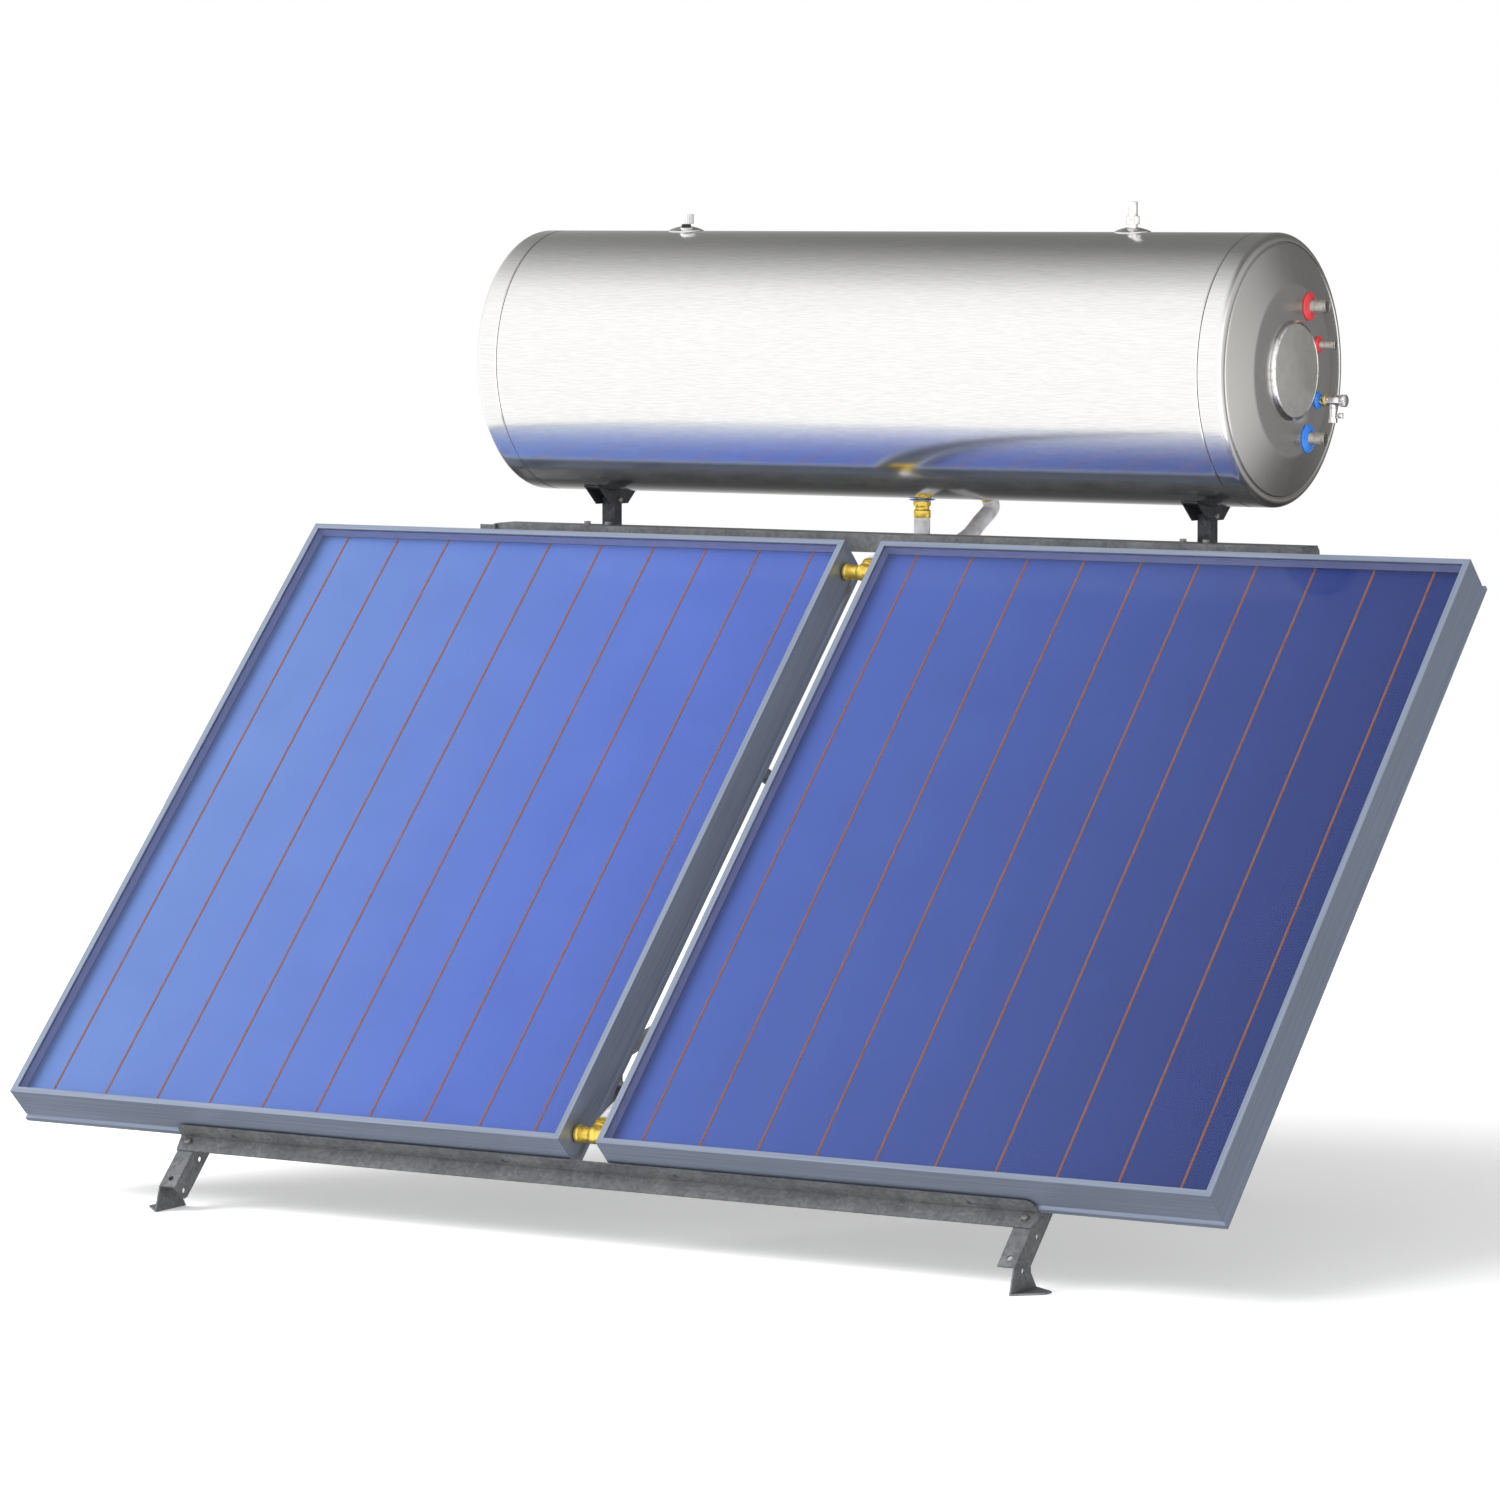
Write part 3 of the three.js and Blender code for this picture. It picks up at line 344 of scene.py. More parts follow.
MATERIALS = {
    "frame_x": anodised("anodised_across", (3, 500, 500)),
    "frame_slope": anodised("anodised_along", (500, 3, 500), ALONG_SLOPE),
    "seam": cast_metal("copper_seam", (0.22, 0.080, 0.045), 0.5, 500, 0.3),
    "absorber": absorber_blue_painted_light(),
    "glass": clear_glass(),
    "back_sheet": embossed_sheet(),
    "wool": mineral_wool(),
    "copper": cast_metal("copper_bright", (0.80, 0.36, 0.22), 0.38, 500),
    "brass": cast_metal("brass_bright", (0.96, 0.70, 0.13), 0.34, 700, 0.85),
    "zinc": galvanised("galvanised", (0.17, 0.174, 0.18), (0.245, 0.25, 0.256)),
    "dark_zinc": galvanised("galvanised_dark", (0.045, 0.046, 0.052), (0.085, 0.086, 0.10)),
    "bolt": cast_metal("zinc_bolt", (0.38, 0.38, 0.38), 0.45, 900),
    "polished": polished_steel(),
    "spun": spun_steel(),
    "chrome": cast_metal("chrome_bright", (0.88, 0.88, 0.89), 0.15, 500),
    "cover": moulded("cover_grey_paint", (0.36, 0.35, 0.33), 0.42, 900, Metallic=0.3),
    "steel": cast_metal("steel_turned", (0.52, 0.50, 0.47), 0.42, 800, 0.75),
    "red": moulded("red_nylon", (0.80, 0.035, 0.045), 0.30, Coat_Weight=0.3),
    "blue": moulded("blue_nylon", (0.01, 0.24, 0.88), 0.30, Coat_Weight=0.3),
    "white": moulded("white_cap", (0.80, 0.80, 0.80), 0.35),
    "rubber": moulded("black_rubber", (0.022, 0.022, 0.026), 0.7, 600),
    # The trim's blue-grey is a painted reflection of the blue absorber in the frames' inner walls.
    "trim": moulded("trim_painted_reflection", (0.20, 0.23, 0.42), 0.5, 600),
    "sleeve": pipe_sleeve(),
    "enamel": moulded("enamel_blue", (0.05, 0.09, 0.15), 0.2, 300),
    "foam": moulded("rigid_foam", (0.75, 0.66, 0.38), 0.9, 400),
    "magnesium": cast_metal("magnesium_dull", (0.45, 0.45, 0.43), 0.55, 300),
}

# ---- Shapes ----


def along_axis(direction, origin=(0, 0, 0)):
    """A matrix that takes local Z onto direction at origin."""
    turn = Z_AXIS.rotation_difference(Vector(direction).normalized())
    return Matrix.Translation(origin) @ turn.to_matrix().to_4x4()


def slope_matrix(x=0.0, along=0.0, out=0.0):
    """A matrix from a place on the slope: x to the right, y up the slope, z out of the glass."""
    slope = Matrix.Translation(SLOPE_ORIGIN) @ Matrix.Rotation(TILT, 4, "X")
    return slope @ Matrix.Translation((x, along, out))


def tank_matrix(x=0.0, across=0.0, up=0.0, direction=(0, 0, 1)):
    """A matrix from a place given from the tank's axis, with local Z along direction."""
    return Matrix.Translation(TANK_AXIS + Vector((x, across, up))) @ along_axis(direction)


def raised(base, profile):
    """A profile whose heights are measured from base."""
    return [(base + height, radius) for height, radius in profile]


def finish_mesh(
    name, mesh, material, slot, body="heater", smooth=35, replaces=(), other=None, where=None
):
    """A piece from a mesh. Faces whose centres pass the test called where take the other material."""
    mesh.name = name
    mesh.materials.append(MATERIALS[material])
    if other:
        mesh.materials.append(MATERIALS[other])
        for face in mesh.polygons:
            face.material_index = int(where(face.center))
    mesh.shade_smooth()
    mesh.set_sharp_from_angle(angle=math.radians(smooth))
    piece = bpy.data.objects.new(name, mesh)
    bpy.context.scene.collection.objects.link(piece)
    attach(piece, body)
    if replaces:
        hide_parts(*replaces)


def grid_mesh(rings, closed_along=False):
    """A mesh over rings of points: neighbours in a ring and between rings are joined by quads."""
    count = len(rings[0])
    points = [tuple(p) for ring in rings for p in ring]
    faces = []
    spans = len(rings) if closed_along else len(rings) - 1
    for i in range(spans):
        here = i * count
        there = ((i + 1) % len(rings)) * count
        for j in range(count):
            after = (j + 1) % count
            faces.append((here + j, here + after, there + after, there + j))
    if not closed_along:
        faces.append(tuple(reversed(range(count))))
        faces.append(tuple((len(rings) - 1) * count + j for j in range(count)))
    mesh = bpy.data.meshes.new("grid")
    mesh.from_pydata(points, [], faces)
    return mesh


def revolved(profile, matrix, segments=64, radius_of=None):
    """Rings of a profile of (height, radius) turned about local Z. radius_of may vary the radius."""
    rings = []
    for height, radius in profile:
        ring = []
        for j in range(segments):
            angle = 2 * math.pi * j / segments
            r = radius_of(radius, angle) if radius_of else radius
            ring.append(matrix @ Vector((r * math.cos(angle), r * math.sin(angle), height)))
        rings.append(ring)
    return rings


def turned_mesh(profile, matrix, segments=48, closed=False, radius_of=None):
    """A turned mesh. A closed profile is a loop, such as a ring's section."""
    return grid_mesh(revolved(profile, matrix, segments, radius_of), closed)


def lathe(name, profile, matrix, material, segments=64, closed=False, radius_of=None, **how):
    """A turned piece."""
    finish_mesh(name, turned_mesh(profile, matrix, segments, closed, radius_of), material, **how)


def arc(centre, radius, start, stop, steps):
    """Points of (along, across) on an arc about centre, angles in degrees from the along axis."""
    points = []
    for i in range(steps + 1):
        angle = math.radians(start + (stop - start) * i / steps)
        points.append((centre[0] + radius * math.cos(angle), centre[1] + radius * math.sin(angle)))
    return points


def joined(name, meshes, material, **how):
    """One piece from several meshes."""
    work = bmesh.new()
    for mesh in meshes:
        work.from_mesh(mesh)
        bpy.data.meshes.remove(mesh)
    mesh = bpy.data.meshes.new(name)
    work.to_mesh(mesh)
    work.free()
    finish_mesh(name, mesh, material, **how)


def hexagon(matrix, across, low, high, chamfer=0.08, bore=0.0):
    """A nut's mesh: across is from corner to corner, and the corners are turned off at both ends."""
    half = across / 2
    cut = half * chamfer
    sector = math.pi / 3

    def hexagonal(radius, angle):
        flat = math.cos((angle % sector) - sector / 2)
        return min(half * math.cos(math.pi / 6) / flat, radius)

    outside = [
        (low, half * 0.84),
        (low + cut * 0.35, half * 0.94),
        (low + cut, half),
        (high - cut, half),
        (high - cut * 0.35, half * 0.94),
        (high, half * 0.84),
    ]
    rings = revolved(outside, matrix, 48, hexagonal)
    if bore:
        rings += revolved([(high, bore), (low, bore)], matrix, 48)
    return grid_mesh(rings, closed_along=bore > 0)


def threaded(matrix, radius, low, high):
    """An outside pipe thread: its ridge climbs one pitch a turn, and fades out at both ends."""
    segments = 48
    steps = int((high - low) / THREAD_PITCH * 6)
    runout = THREAD_PITCH * 1.5
    rings = []
    for i in range(steps + 1):
        height = low + (high - low) * i / steps
        fade = min(1.0, (height - low) / runout, (high - height) / runout)
        ring = []
        for j in range(segments):
            angle = 2 * math.pi * j / segments
            phase = (height / THREAD_PITCH - j / segments) % 1.0
            ridge = 1 - abs(2 * phase - 1)
            r = radius - THREAD_DEPTH * (1 - ridge) * max(0.0, fade)
            ring.append(matrix @ Vector((r * math.cos(angle), r * math.sin(angle), height)))
        rings.append(ring)
    return grid_mesh(rings)


def sleeve(node, points):
    """An insulated pipe: a round tube along points, for a CAD node."""
    name = node + "_sleeve"
    curve = bpy.data.curves.new(name, "CURVE")
    curve.dimensions = "3D"
    spline = curve.splines.new("NURBS")
    spline.points.add(len(points) - 1)
    for point, place in zip(spline.points, points):
        point.co = (*place, 1)
    spline.order_u = 4
    spline.use_endpoint_u = True
    spline.resolution_u = 2
    curve.bevel_depth = PIPE_RADIUS
    curve.bevel_resolution = 6
    curve.use_fill_caps = True
    holder = bpy.data.objects.new(name, curve)
    bpy.context.scene.collection.objects.link(holder)
    evaluated = holder.evaluated_get(bpy.context.evaluated_depsgraph_get())
    mesh = bpy.data.meshes.new_from_object(evaluated)
    bpy.data.objects.remove(holder)
    finish_mesh(name, mesh, "sleeve", smooth=50, replaces=(node,), slot="pipe_insulation")


# ---- CAD nodes that keep their shape ----


def paint(node, material, bevel=0.0):
    """A CAD node's surface, and a small round on its sharp edges."""
    thing = frame["nodes"][node]
    for slot in thing.material_slots:
        slot.material = MATERIALS[material]
    if bevel:
        edge = thing.modifiers.new("edges", "BEVEL")
        edge.width = bevel
        edge.segments = 2
        edge.limit_method = "ANGLE"
        edge.angle_limit = math.radians(40)
        edge.harden_normals = True


for side in ("left", "right"):
    paint(side + "_frame_top", "frame_x", 0.0006)
    paint(side + "_frame_bottom", "frame_x", 0.0006)
    paint(side + "_frame_left", "frame_slope", 0.0006)
    paint(side + "_frame_right", "frame_slope", 0.0006)
    paint(side + "_glass", "glass")
    paint(side + "_absorber", "absorber")
    paint(side + "_insulation", "wool")
    paint(side + "_back_sheet", "back_sheet", 0.0004)
    paint(side + "_riser_harp", "copper")
    paint(side + "_side_rail", "zinc", 0.0008)
    paint(side + "_rear_leg", "dark_zinc", 0.0012)
    paint(side + "_stay", "zinc", 0.0006)
    paint(side + "_saddle", "dark_zinc", 0.0006)
for rail in ("lower_cross_rail", "upper_cross_rail"):
    paint(rail, "zinc", 0.0008)
for brace in ("front_cross_brace", "rear_cross_brace"):
    paint(brace, "zinc", 0.0006)
paint("inner_vessel", "enamel")
paint("tank_insulation", "foam")
paint("service_flange", "steel", 0.0008)
paint("heating_element", "steel")
paint("anode_rod", "magnesium")

# ---- Collectors ----


def slab_mesh(matrix, low, high):
    """A box from low to high in a matrix's own axes."""
    outline = ((low[0], low[1]), (high[0], low[1]), (high[0], high[1]), (low[0], high[1]))
    corners = [matrix @ Vector((x, y, z)) for z in (low[2], high[2]) for x, y in outline]
    faces = [(3, 2, 1, 0), (4, 5, 6, 7), (0, 1, 5, 4), (1, 2, 6, 5), (2, 3, 7, 6), (3, 0, 4, 7)]
    mesh = bpy.data.meshes.new("slab")
    mesh.from_pydata([tuple(c) for c in corners], [], faces)
    return mesh


def absorber_seams(side, centre_x):
    """The copper seams, where the risers are welded to the absorber: a low rounded ridge each."""
    section = [(-0.0026, 0.0), (-0.0019, 0.0007), (0.0, 0.0010), (0.0019, 0.0007), (0.0026, 0.0)]
    margin = 0.0075
    underside = -0.0249
    seams = []
    for i in range(RISER_COUNT):
        x = centre_x + (i - (RISER_COUNT - 1) / 2) * RISER_PITCH
        rings = []
        for y in (margin, COLLECTOR_LENGTH - margin):
            matrix = slope_matrix(x, y, underside)
            rings.append([matrix @ Vector((a, 0, b)) for a, b in section])
        seams.append(grid_mesh(rings))
    joined(side + "_absorber_seams", seams, "seam", slot="copper")


def glass_trim_painted_reflection(side, centre_x):
    """A strip that seats the glass and covers the frame's inner wall down to the absorber. Its
    blue-grey is a painted reflection of the blue absorber in that wall.
    """
    matrix = slope_matrix(centre_x)
    edge = 0.0085
    wall = 0.0121
    inner = COLLECTOR_HALF_WIDTH - wall
    outer = inner + 0.0036
    top = COLLECTOR_LENGTH - edge
    strips = (
        (-inner, edge, inner, wall),
        (-inner, COLLECTOR_LENGTH - wall, inner, top),
        (-outer, edge, -inner, top),
        (inner, edge, outer, top),
    )
    trim = []
    for x_low, y_low, x_high, y_high in strips:
        low = (x_low, y_low, ABSORBER_TOP)
        high = (x_high, y_high, GLASS_UNDERSIDE)
        trim.append(slab_mesh(matrix, low, high))
    joined(side + "_glass_trim_painted_reflection", trim, "trim", slot="collector_frame")


def grommets(side, centre_x, towards_gap):
    """Rubber rings where the headers leave the frame."""
    ring = [(-0.004, 0.0117), (-0.004, 0.0145), (0.0, 0.0150), (0.0016, 0.0142), (0.002, 0.0117)]
    for level, along in (("lower", LOWER_HEADER), ("upper", UPPER_HEADER)):
        frame_side = slope_matrix(centre_x + towards_gap * COLLECTOR_HALF_WIDTH, along, HEADER_OUT)
        lathe(
            side + "_" + level + "_grommet", ring, frame_side @ along_axis((towards_gap, 0, 0)),
            "rubber", segments=40, closed=True, slot="pipe_insulation",
        )


for side, towards_gap in (("left", 1), ("right", -1)):
    middle_x = -towards_gap * COLLECTOR_X
    absorber_seams(side, middle_x)
    glass_trim_painted_reflection(side, middle_x)
    grommets(side, middle_x, towards_gap)

# ---- Brass tees and unions ----


def tee(node, along, branch):
    """A push-fit tee: a barrel with a beaded collar on each run, and a hexagonal nut on the branch."""
    centre = slope_matrix(0, along, HEADER_OUT)
    across = centre @ along_axis((1, 0, 0))
    leg = centre @ along_axis((0, *branch))
    barrel = [(-0.0375, 0.0113), (-0.0375, 0.0135), (0.0375, 0.0135), (0.0375, 0.0113)]
    collar = [
        (0.0205, 0.0115), (0.0205, 0.0148), (0.0285, 0.0148), (0.0295, 0.0162), (0.0305, 0.0168),
        (0.0352, 0.0168), (0.0366, 0.0160), (0.0373, 0.0145), (0.0373, 0.0115),
    ]
    neck = [(0.0, 0.0126), (0.018, 0.0126), (0.019, 0.0150), (0.0225, 0.0150), (0.0235, 0.012)]
    tail = [(0.0345, 0.0150), (0.0372, 0.0145), (0.0378, 0.0135), (0.0378, 0.0)]
    bulge = [(-0.0150, 0.0), *arc((0, 0), 0.0160, 160, 20, 14), (0.0150, 0.0)]
    meshes = [turned_mesh(barrel, across, closed=True)]
    for side in (-1, 1):
        meshes.append(turned_mesh(collar, centre @ along_axis((side, 0, 0)), closed=True))
    meshes.append(turned_mesh(neck, leg))
    meshes.append(hexagon(leg, 0.0345, 0.0235, 0.0345))
    meshes.append(turned_mesh(tail, leg))
    meshes.append(turned_mesh(bulge, across))
    joined(node + "_body", meshes, "brass", replaces=(node,), slot="brass")


tee("upper_tee", UPPER_HEADER, UPPER_BRANCH)
tee("lower_tee", LOWER_HEADER, LOWER_BRANCH)


def union(node, x, angle):
    """A brass union screwed into the tank's underside: a hexagon, then a waist, then a round cap."""
    matrix = tank_matrix(x, direction=(0, math.sin(angle), -math.cos(angle)))
    skin = TANK_RADIUS
    root = raised(skin, [(-0.010, 0.0118), (0.006, 0.0118), (0.006, 0.0)])
    waist = raised(skin, [
        (0.014, 0.0150), (0.0165, 0.0142), (0.019, 0.0136), (0.0215, 0.0142), (0.0235, 0.0158),
        (0.0235, 0.0),
    ])
    cap = raised(skin, [
        (0.0230, 0.0), (0.0230, 0.0155), (0.0238, 0.0165), (0.0362, 0.0165), (0.0372, 0.0160),
        (0.0379, 0.0145), (0.0379, 0.0),
    ])
    meshes = [
        turned_mesh(root, matrix),
        hexagon(matrix, 0.0338, skin + 0.0052, skin + 0.0150),
        turned_mesh(waist, matrix),
        turned_mesh(cap, matrix),
    ]
    joined(node + "_body", meshes, "brass", replaces=(node,), slot="brass")
    cuff = raised(skin, [(0.0374, 0.0120), (0.0374, 0.0159), (0.0412, 0.0160), (0.0420, 0.0150)])
    lathe(node + "_cuff", cuff, matrix, "white", segments=48, closed=True, slot="white_plastic")


def union_ring():
    """The blue rosette round the cold union, against the jacket."""
    ring = raised(TANK_RADIUS, [
        (0.0006, 0.0123), (0.0017, 0.0255), (0.0027, 0.0259), (0.0044, 0.0200), (0.0044, 0.0123),
    ])
    lathe(
        "cold_union_ring", ring, tank_matrix(COLD_UNION_X, direction=(0, 0, -1)), "blue", closed=True,
        replaces=("cold_union_rosette",), slot="blue_plastic",
    )


union("cold_union", COLD_UNION_X, 0.0)
union("hot_union", HOT_UNION_X, HOT_UNION_ANGLE)
union_ring()

# ---- Tank ----

ALONG_TANK = tank_matrix(direction=(1, 0, 0))
TANK_SEGMENTS = 160


def tank_skin():
    """The jacket, whose edges turn in at the seams."""
    top = TANK_RADIUS
    right = [(SEAM_X - 0.0022, top), (SEAM_X - 0.0004, top - 0.0018), (SEAM_X - 0.0002, top - 0.003)]
    right.append((SEAM_X - 0.001, top - 0.0035))
    left = [(-x, radius) for x, radius in reversed(right)]
    lathe(
        "tank_skin", [*left[1:], *right, left[0]], ALONG_TANK, "polished", segments=TANK_SEGMENTS,
        closed=True, replaces=("tank_jacket",), slot="stainless",
    )


def cap_profile(inner):
    """(distance from the middle, radius) of an end cap: seam, rolled rim, crease, cone, flat middle."""
    top = TANK_RADIUS
    rim_radius = 0.0150
    return [
        (SEAM_X + 0.0006, top - 0.0060),
        (SEAM_X + 0.0006, top - 0.0018),
        (SEAM_X + 0.0024, top),
        *arc((RIM_X - rim_radius, top - rim_radius), rim_radius, 90, 8, 8),
        (RIM_X - 0.0002, top - 0.0160),
        (RIM_X - 0.0018, top - 0.0172),
        (RIM_X - 0.0022, top - 0.0186),
        (RIM_X - 0.0004, top - 0.0200),
        (RIM_X + 0.0006, top - 0.0225),
        (FACE_X - 0.0012, 0.1640),
        (FACE_X - 0.0003, 0.1605),
        (FACE_X, 0.1560),
        (FACE_X, inner),
        (FACE_X - 0.006, inner),
    ]


def end_caps():
    """The rims are rolled from the jacket's sheet, and the plates inside them are spun."""
    for name, turn, inner in (("left_end_cap", -1, 0.0), ("right_end_cap", 1, 0.080)):
        lathe(
            name + "_shell", cap_profile(inner), tank_matrix(direction=(turn, 0, 0)), "polished",
            segments=TANK_SEGMENTS, smooth=40, closed=inner > 0, replaces=(name,),
            slot="stainless", other="spun", where=lambda centre: abs(centre.x) > RIM_X - 0.004,
        )


def service_cover():
    """A grey disc in a bright bevelled ring."""
    ring = raised(FACE_X, [
        (0.0003, 0.0860), (0.0003, 0.0938), (0.0040, 0.0938), (0.0062, 0.0926), (0.0086, 0.0892),
        (0.0088, 0.0880), (0.0080, 0.0868),
    ])
    disc = raised(FACE_X, [
        (0.0010, 0.0), (0.0010, 0.0866), (0.0076, 0.0866), (0.0082, 0.0855), (0.0082, 0.0500),
        (0.0087, 0.0490), (0.0087, 0.0),
    ])
    lathe("service_cover_ring", ring, ALONG_TANK, "chrome", segments=120, closed=True, slot="chrome")
    lathe(
        "service_cover_disc", disc, ALONG_TANK, "cover", segments=120,
        replaces=("service_cover",), slot="cover_grey",
    )


def rosettes():
    """A domed ring round each pipe, with a collar against it."""
    for port, (y, z, pipe, radius) in PORTS.items():
        collar = pipe + 0.0035
        dome = [(0.0030, 0.94), (0.0042, 0.80), (0.0050, 0.66)]
        profile = raised(FACE_X, [
            (0.0003, pipe + 0.0003),
            (0.0003, radius),
            (0.0016, radius),
            *[(height, max(collar, radius * share)) for height, share in dome],
            (0.0062, collar),
            (0.0068, pipe + 0.0022),
            (0.0068, pipe + 0.0003),
        ])
        colour = "red" if port.startswith("hot") else "blue"
        lathe(
            port + "_ring", profile, tank_matrix(0, y, z, (1, 0, 0)), colour, segments=56,
            closed=True, replaces=(port + "_rosette",), slot=colour + "_plastic",
        )


def nipple(port):
    """A pipe stub: a plain root, a thread, and a bored, chamfered end."""
    y, z, pipe, _ = PORTS[port]
    bore = pipe - 0.003
    start = FACE_X - 0.012
    end = FACE_X + 0.038
    matrix = tank_matrix(0, y, z, (1, 0, 0))
    root = [
        (start, bore), (start, pipe - 0.0002), (FACE_X + 0.013, pipe - 0.0002),
        (FACE_X + 0.014, pipe - 0.0010), (FACE_X + 0.016, pipe - 0.0010), (FACE_X + 0.016, bore),
    ]
    tip = [
        (end - 0.0022, bore), (end - 0.0022, pipe - 0.0011), (end - 0.0003, pipe - 0.0016),
        (end, bore + 0.0009), (end - 0.0012, bore),
    ]
    lining = [
        (start, bore), (end - 0.0010, bore), (end - 0.0010, bore + 0.0005), (start, bore + 0.0005),
    ]
    meshes = [
        turned_mesh(root, matrix, closed=True),
        open_thread(matrix, pipe - 0.0001, FACE_X + 0.0155, end - 0.0015),
        turned_mesh(tip, matrix, closed=True),
        turned_mesh(lining, matrix, closed=True),
    ]
    joined(port + "_stub", meshes, "steel", smooth=50, replaces=(port + "_nipple",), slot="steel")


def open_thread(matrix, radius, low, high):
    """The thread's outside, without its flat ends."""
    mesh = threaded(matrix, radius, low, high)
    work = bmesh.new()
    work.from_mesh(mesh)
    caps = [face for face in work.faces if len(face.verts) > 4]
    bmesh.ops.delete(work, geom=caps, context="FACES_ONLY")
    work.to_mesh(mesh)
    work.free()
    return mesh


def safety_valve():
    """Body, collar, knurled end, and a discharge branch with a hexagonal tail."""
    y, z, pipe, _ = PORTS["cold_loop"]
    matrix = tank_matrix(0, y, z, (1, 0, 0))
    root = raised(FACE_X, [
        (-0.012, 0.0), (-0.012, pipe - 0.0003), (0.012, pipe - 0.0003), (0.012, 0.0),
    ])
    body = raised(FACE_X, [
        (0.0170, 0.0), (0.0170, 0.0092), (0.0185, 0.0099), (0.0440, 0.0099), (0.0455, 0.0090),
        (0.0475, 0.0090), (0.0480, 0.0102), (0.0480, 0.0),
    ])
    end = raised(FACE_X, [
        (0.0480, 0.0), (0.0480, 0.0108), (0.0488, 0.0115), (0.0582, 0.0115), (0.0592, 0.0108),
        (0.0598, 0.0090), (0.0598, 0.0),
    ])

    def knurled(radius, angle):
        in_groove = int(angle / (2 * math.pi) * 96) % 4 < 2
        return radius - 0.0006 if radius > 0.0100 and in_groove else radius

    meshes = [
        turned_mesh(root, matrix),
        hexagon(matrix, 0.0226, FACE_X + 0.0105, FACE_X + 0.0175),
        turned_mesh(body, matrix),
        turned_mesh(end, matrix, 96, radius_of=knurled),
    ]
    joined("safety_valve_body", meshes, "chrome", replaces=("safety_valve",), slot="chrome")
    drop = tank_matrix(FACE_X + VALVE_BRANCH_X, y, z, (0, 0, -1))
    bore = 0.0046
    tube = [
        (0.004, bore), (0.004, 0.0070), (0.0110, 0.0078), (0.0130, 0.0078), (0.0140, 0.0069),
        (0.0330, 0.0069), (0.0330, bore),
    ]
    branch = [
        turned_mesh(tube, drop, closed=True),
        hexagon(drop, 0.0170, 0.0325, 0.0415, bore=bore),
    ]
    joined("safety_valve_branch", branch, "chrome", slot="chrome")
    washer = raised(FACE_X, [
        (0.0150, 0.0090), (0.0150, 0.0110), (0.0160, 0.0117), (0.0178, 0.0117), (0.0186, 0.0108),
        (0.0186, 0.0090),
    ])
    lathe("safety_valve_washer", washer, matrix, "brass", closed=True, slot="brass")


def test_knob():
    """A ribbed knob on a short spindle, with a finger bar across its face."""
    y, z, _, _ = PORTS["cold_loop"]
    place = (FACE_X + VALVE_BRANCH_X + 0.007 + 0.0003, y, z - KNOB_DROP)
    matrix = tank_matrix(*place, (1, 0, 0))
    spindle = [(0.0, 0.0), (0.0, 0.0024), (0.0045, 0.0024), (0.0045, 0.0)]
    grip = [
        (0.0040, 0.0), (0.0040, 0.0045), (0.0046, 0.0050), (0.0100, 0.0050), (0.0109, 0.0045),
        (0.0110, 0.0),
    ]

    def ribbed(radius, angle):
        return radius - 0.0004 * (0.5 + 0.5 * math.cos(12 * angle)) if radius > 0.0044 else radius

    meshes = [
        turned_mesh(spindle, matrix, 24),
        turned_mesh(grip, matrix, 72, radius_of=ribbed),
        slab_mesh(tank_matrix(*place), (0.0105, -0.0011, -0.0057), (0.0138, 0.0011, 0.0057)),
    ]
    joined(
        "test_knob_grip", meshes, "chrome", body="test_knob", replaces=("test_knob",), slot="chrome"
    )


def domed_collar(name, x, stem):
    """A collar on the tank's top. Its edge follows the jacket, so it is lowest in front and behind."""
    segments = 64
    matrix = tank_matrix(x)
    dome = [
        (-0.0030, stem), (-0.0010, 0.0352), (0.0014, 0.0345), (0.0040, 0.0290), (0.0068, 0.0200),
        (0.0082, 0.0140), (0.0088, 0.0098), (0.0088, stem),
    ]
    rings = []
    for height, radius in dome:
        ring = []
        for j in range(segments):
            angle = 2 * math.pi * j / segments
            across = radius * math.sin(angle)
            drop = TANK_RADIUS - math.sqrt(TANK_RADIUS**2 - across**2)
            place = Vector((radius * math.cos(angle), across, TANK_RADIUS + height - drop))
            ring.append(matrix @ place)
        rings.append(ring)
    finish_mesh(name, grid_mesh(rings, closed_along=True), "polished", slot="steel")


def vent():
    """The vent's stem, and its ribbed cap."""
    matrix = tank_matrix(VENT_X)
    stem = raised(TANK_RADIUS, [
        (-0.004, 0.0055), (-0.004, 0.0094), (0.0110, 0.0094), (0.0115, 0.0088), (0.0198, 0.0088),
        (0.0198, 0.0055),
    ])
    cap = raised(TANK_RADIUS, [
        (0.0130, 0.0098), (0.0130, 0.0142), (0.0138, 0.0149), (0.0300, 0.0154), (0.0322, 0.0142),
        (0.0330, 0.0118), (0.0330, 0.0), (0.0212, 0.0), (0.0212, 0.0098),
    ])

    def ribbed(radius, angle):
        return radius - 0.0007 * (0.5 + 0.5 * math.cos(24 * angle)) if radius > 0.0146 else radius

    domed_collar("vent_collar", VENT_X, 0.0090)
    lathe(
        "vent_stem", stem, matrix, "dark_zinc", segments=40, closed=True,
        replaces=("vent_fitting",), slot="steel",
    )
    lathe(
        "vent_cap_top", cap, matrix, "white", body="vent_cap", segments=144, closed=True,
        radius_of=ribbed, replaces=("vent_cap",), slot="white_plastic",
    )


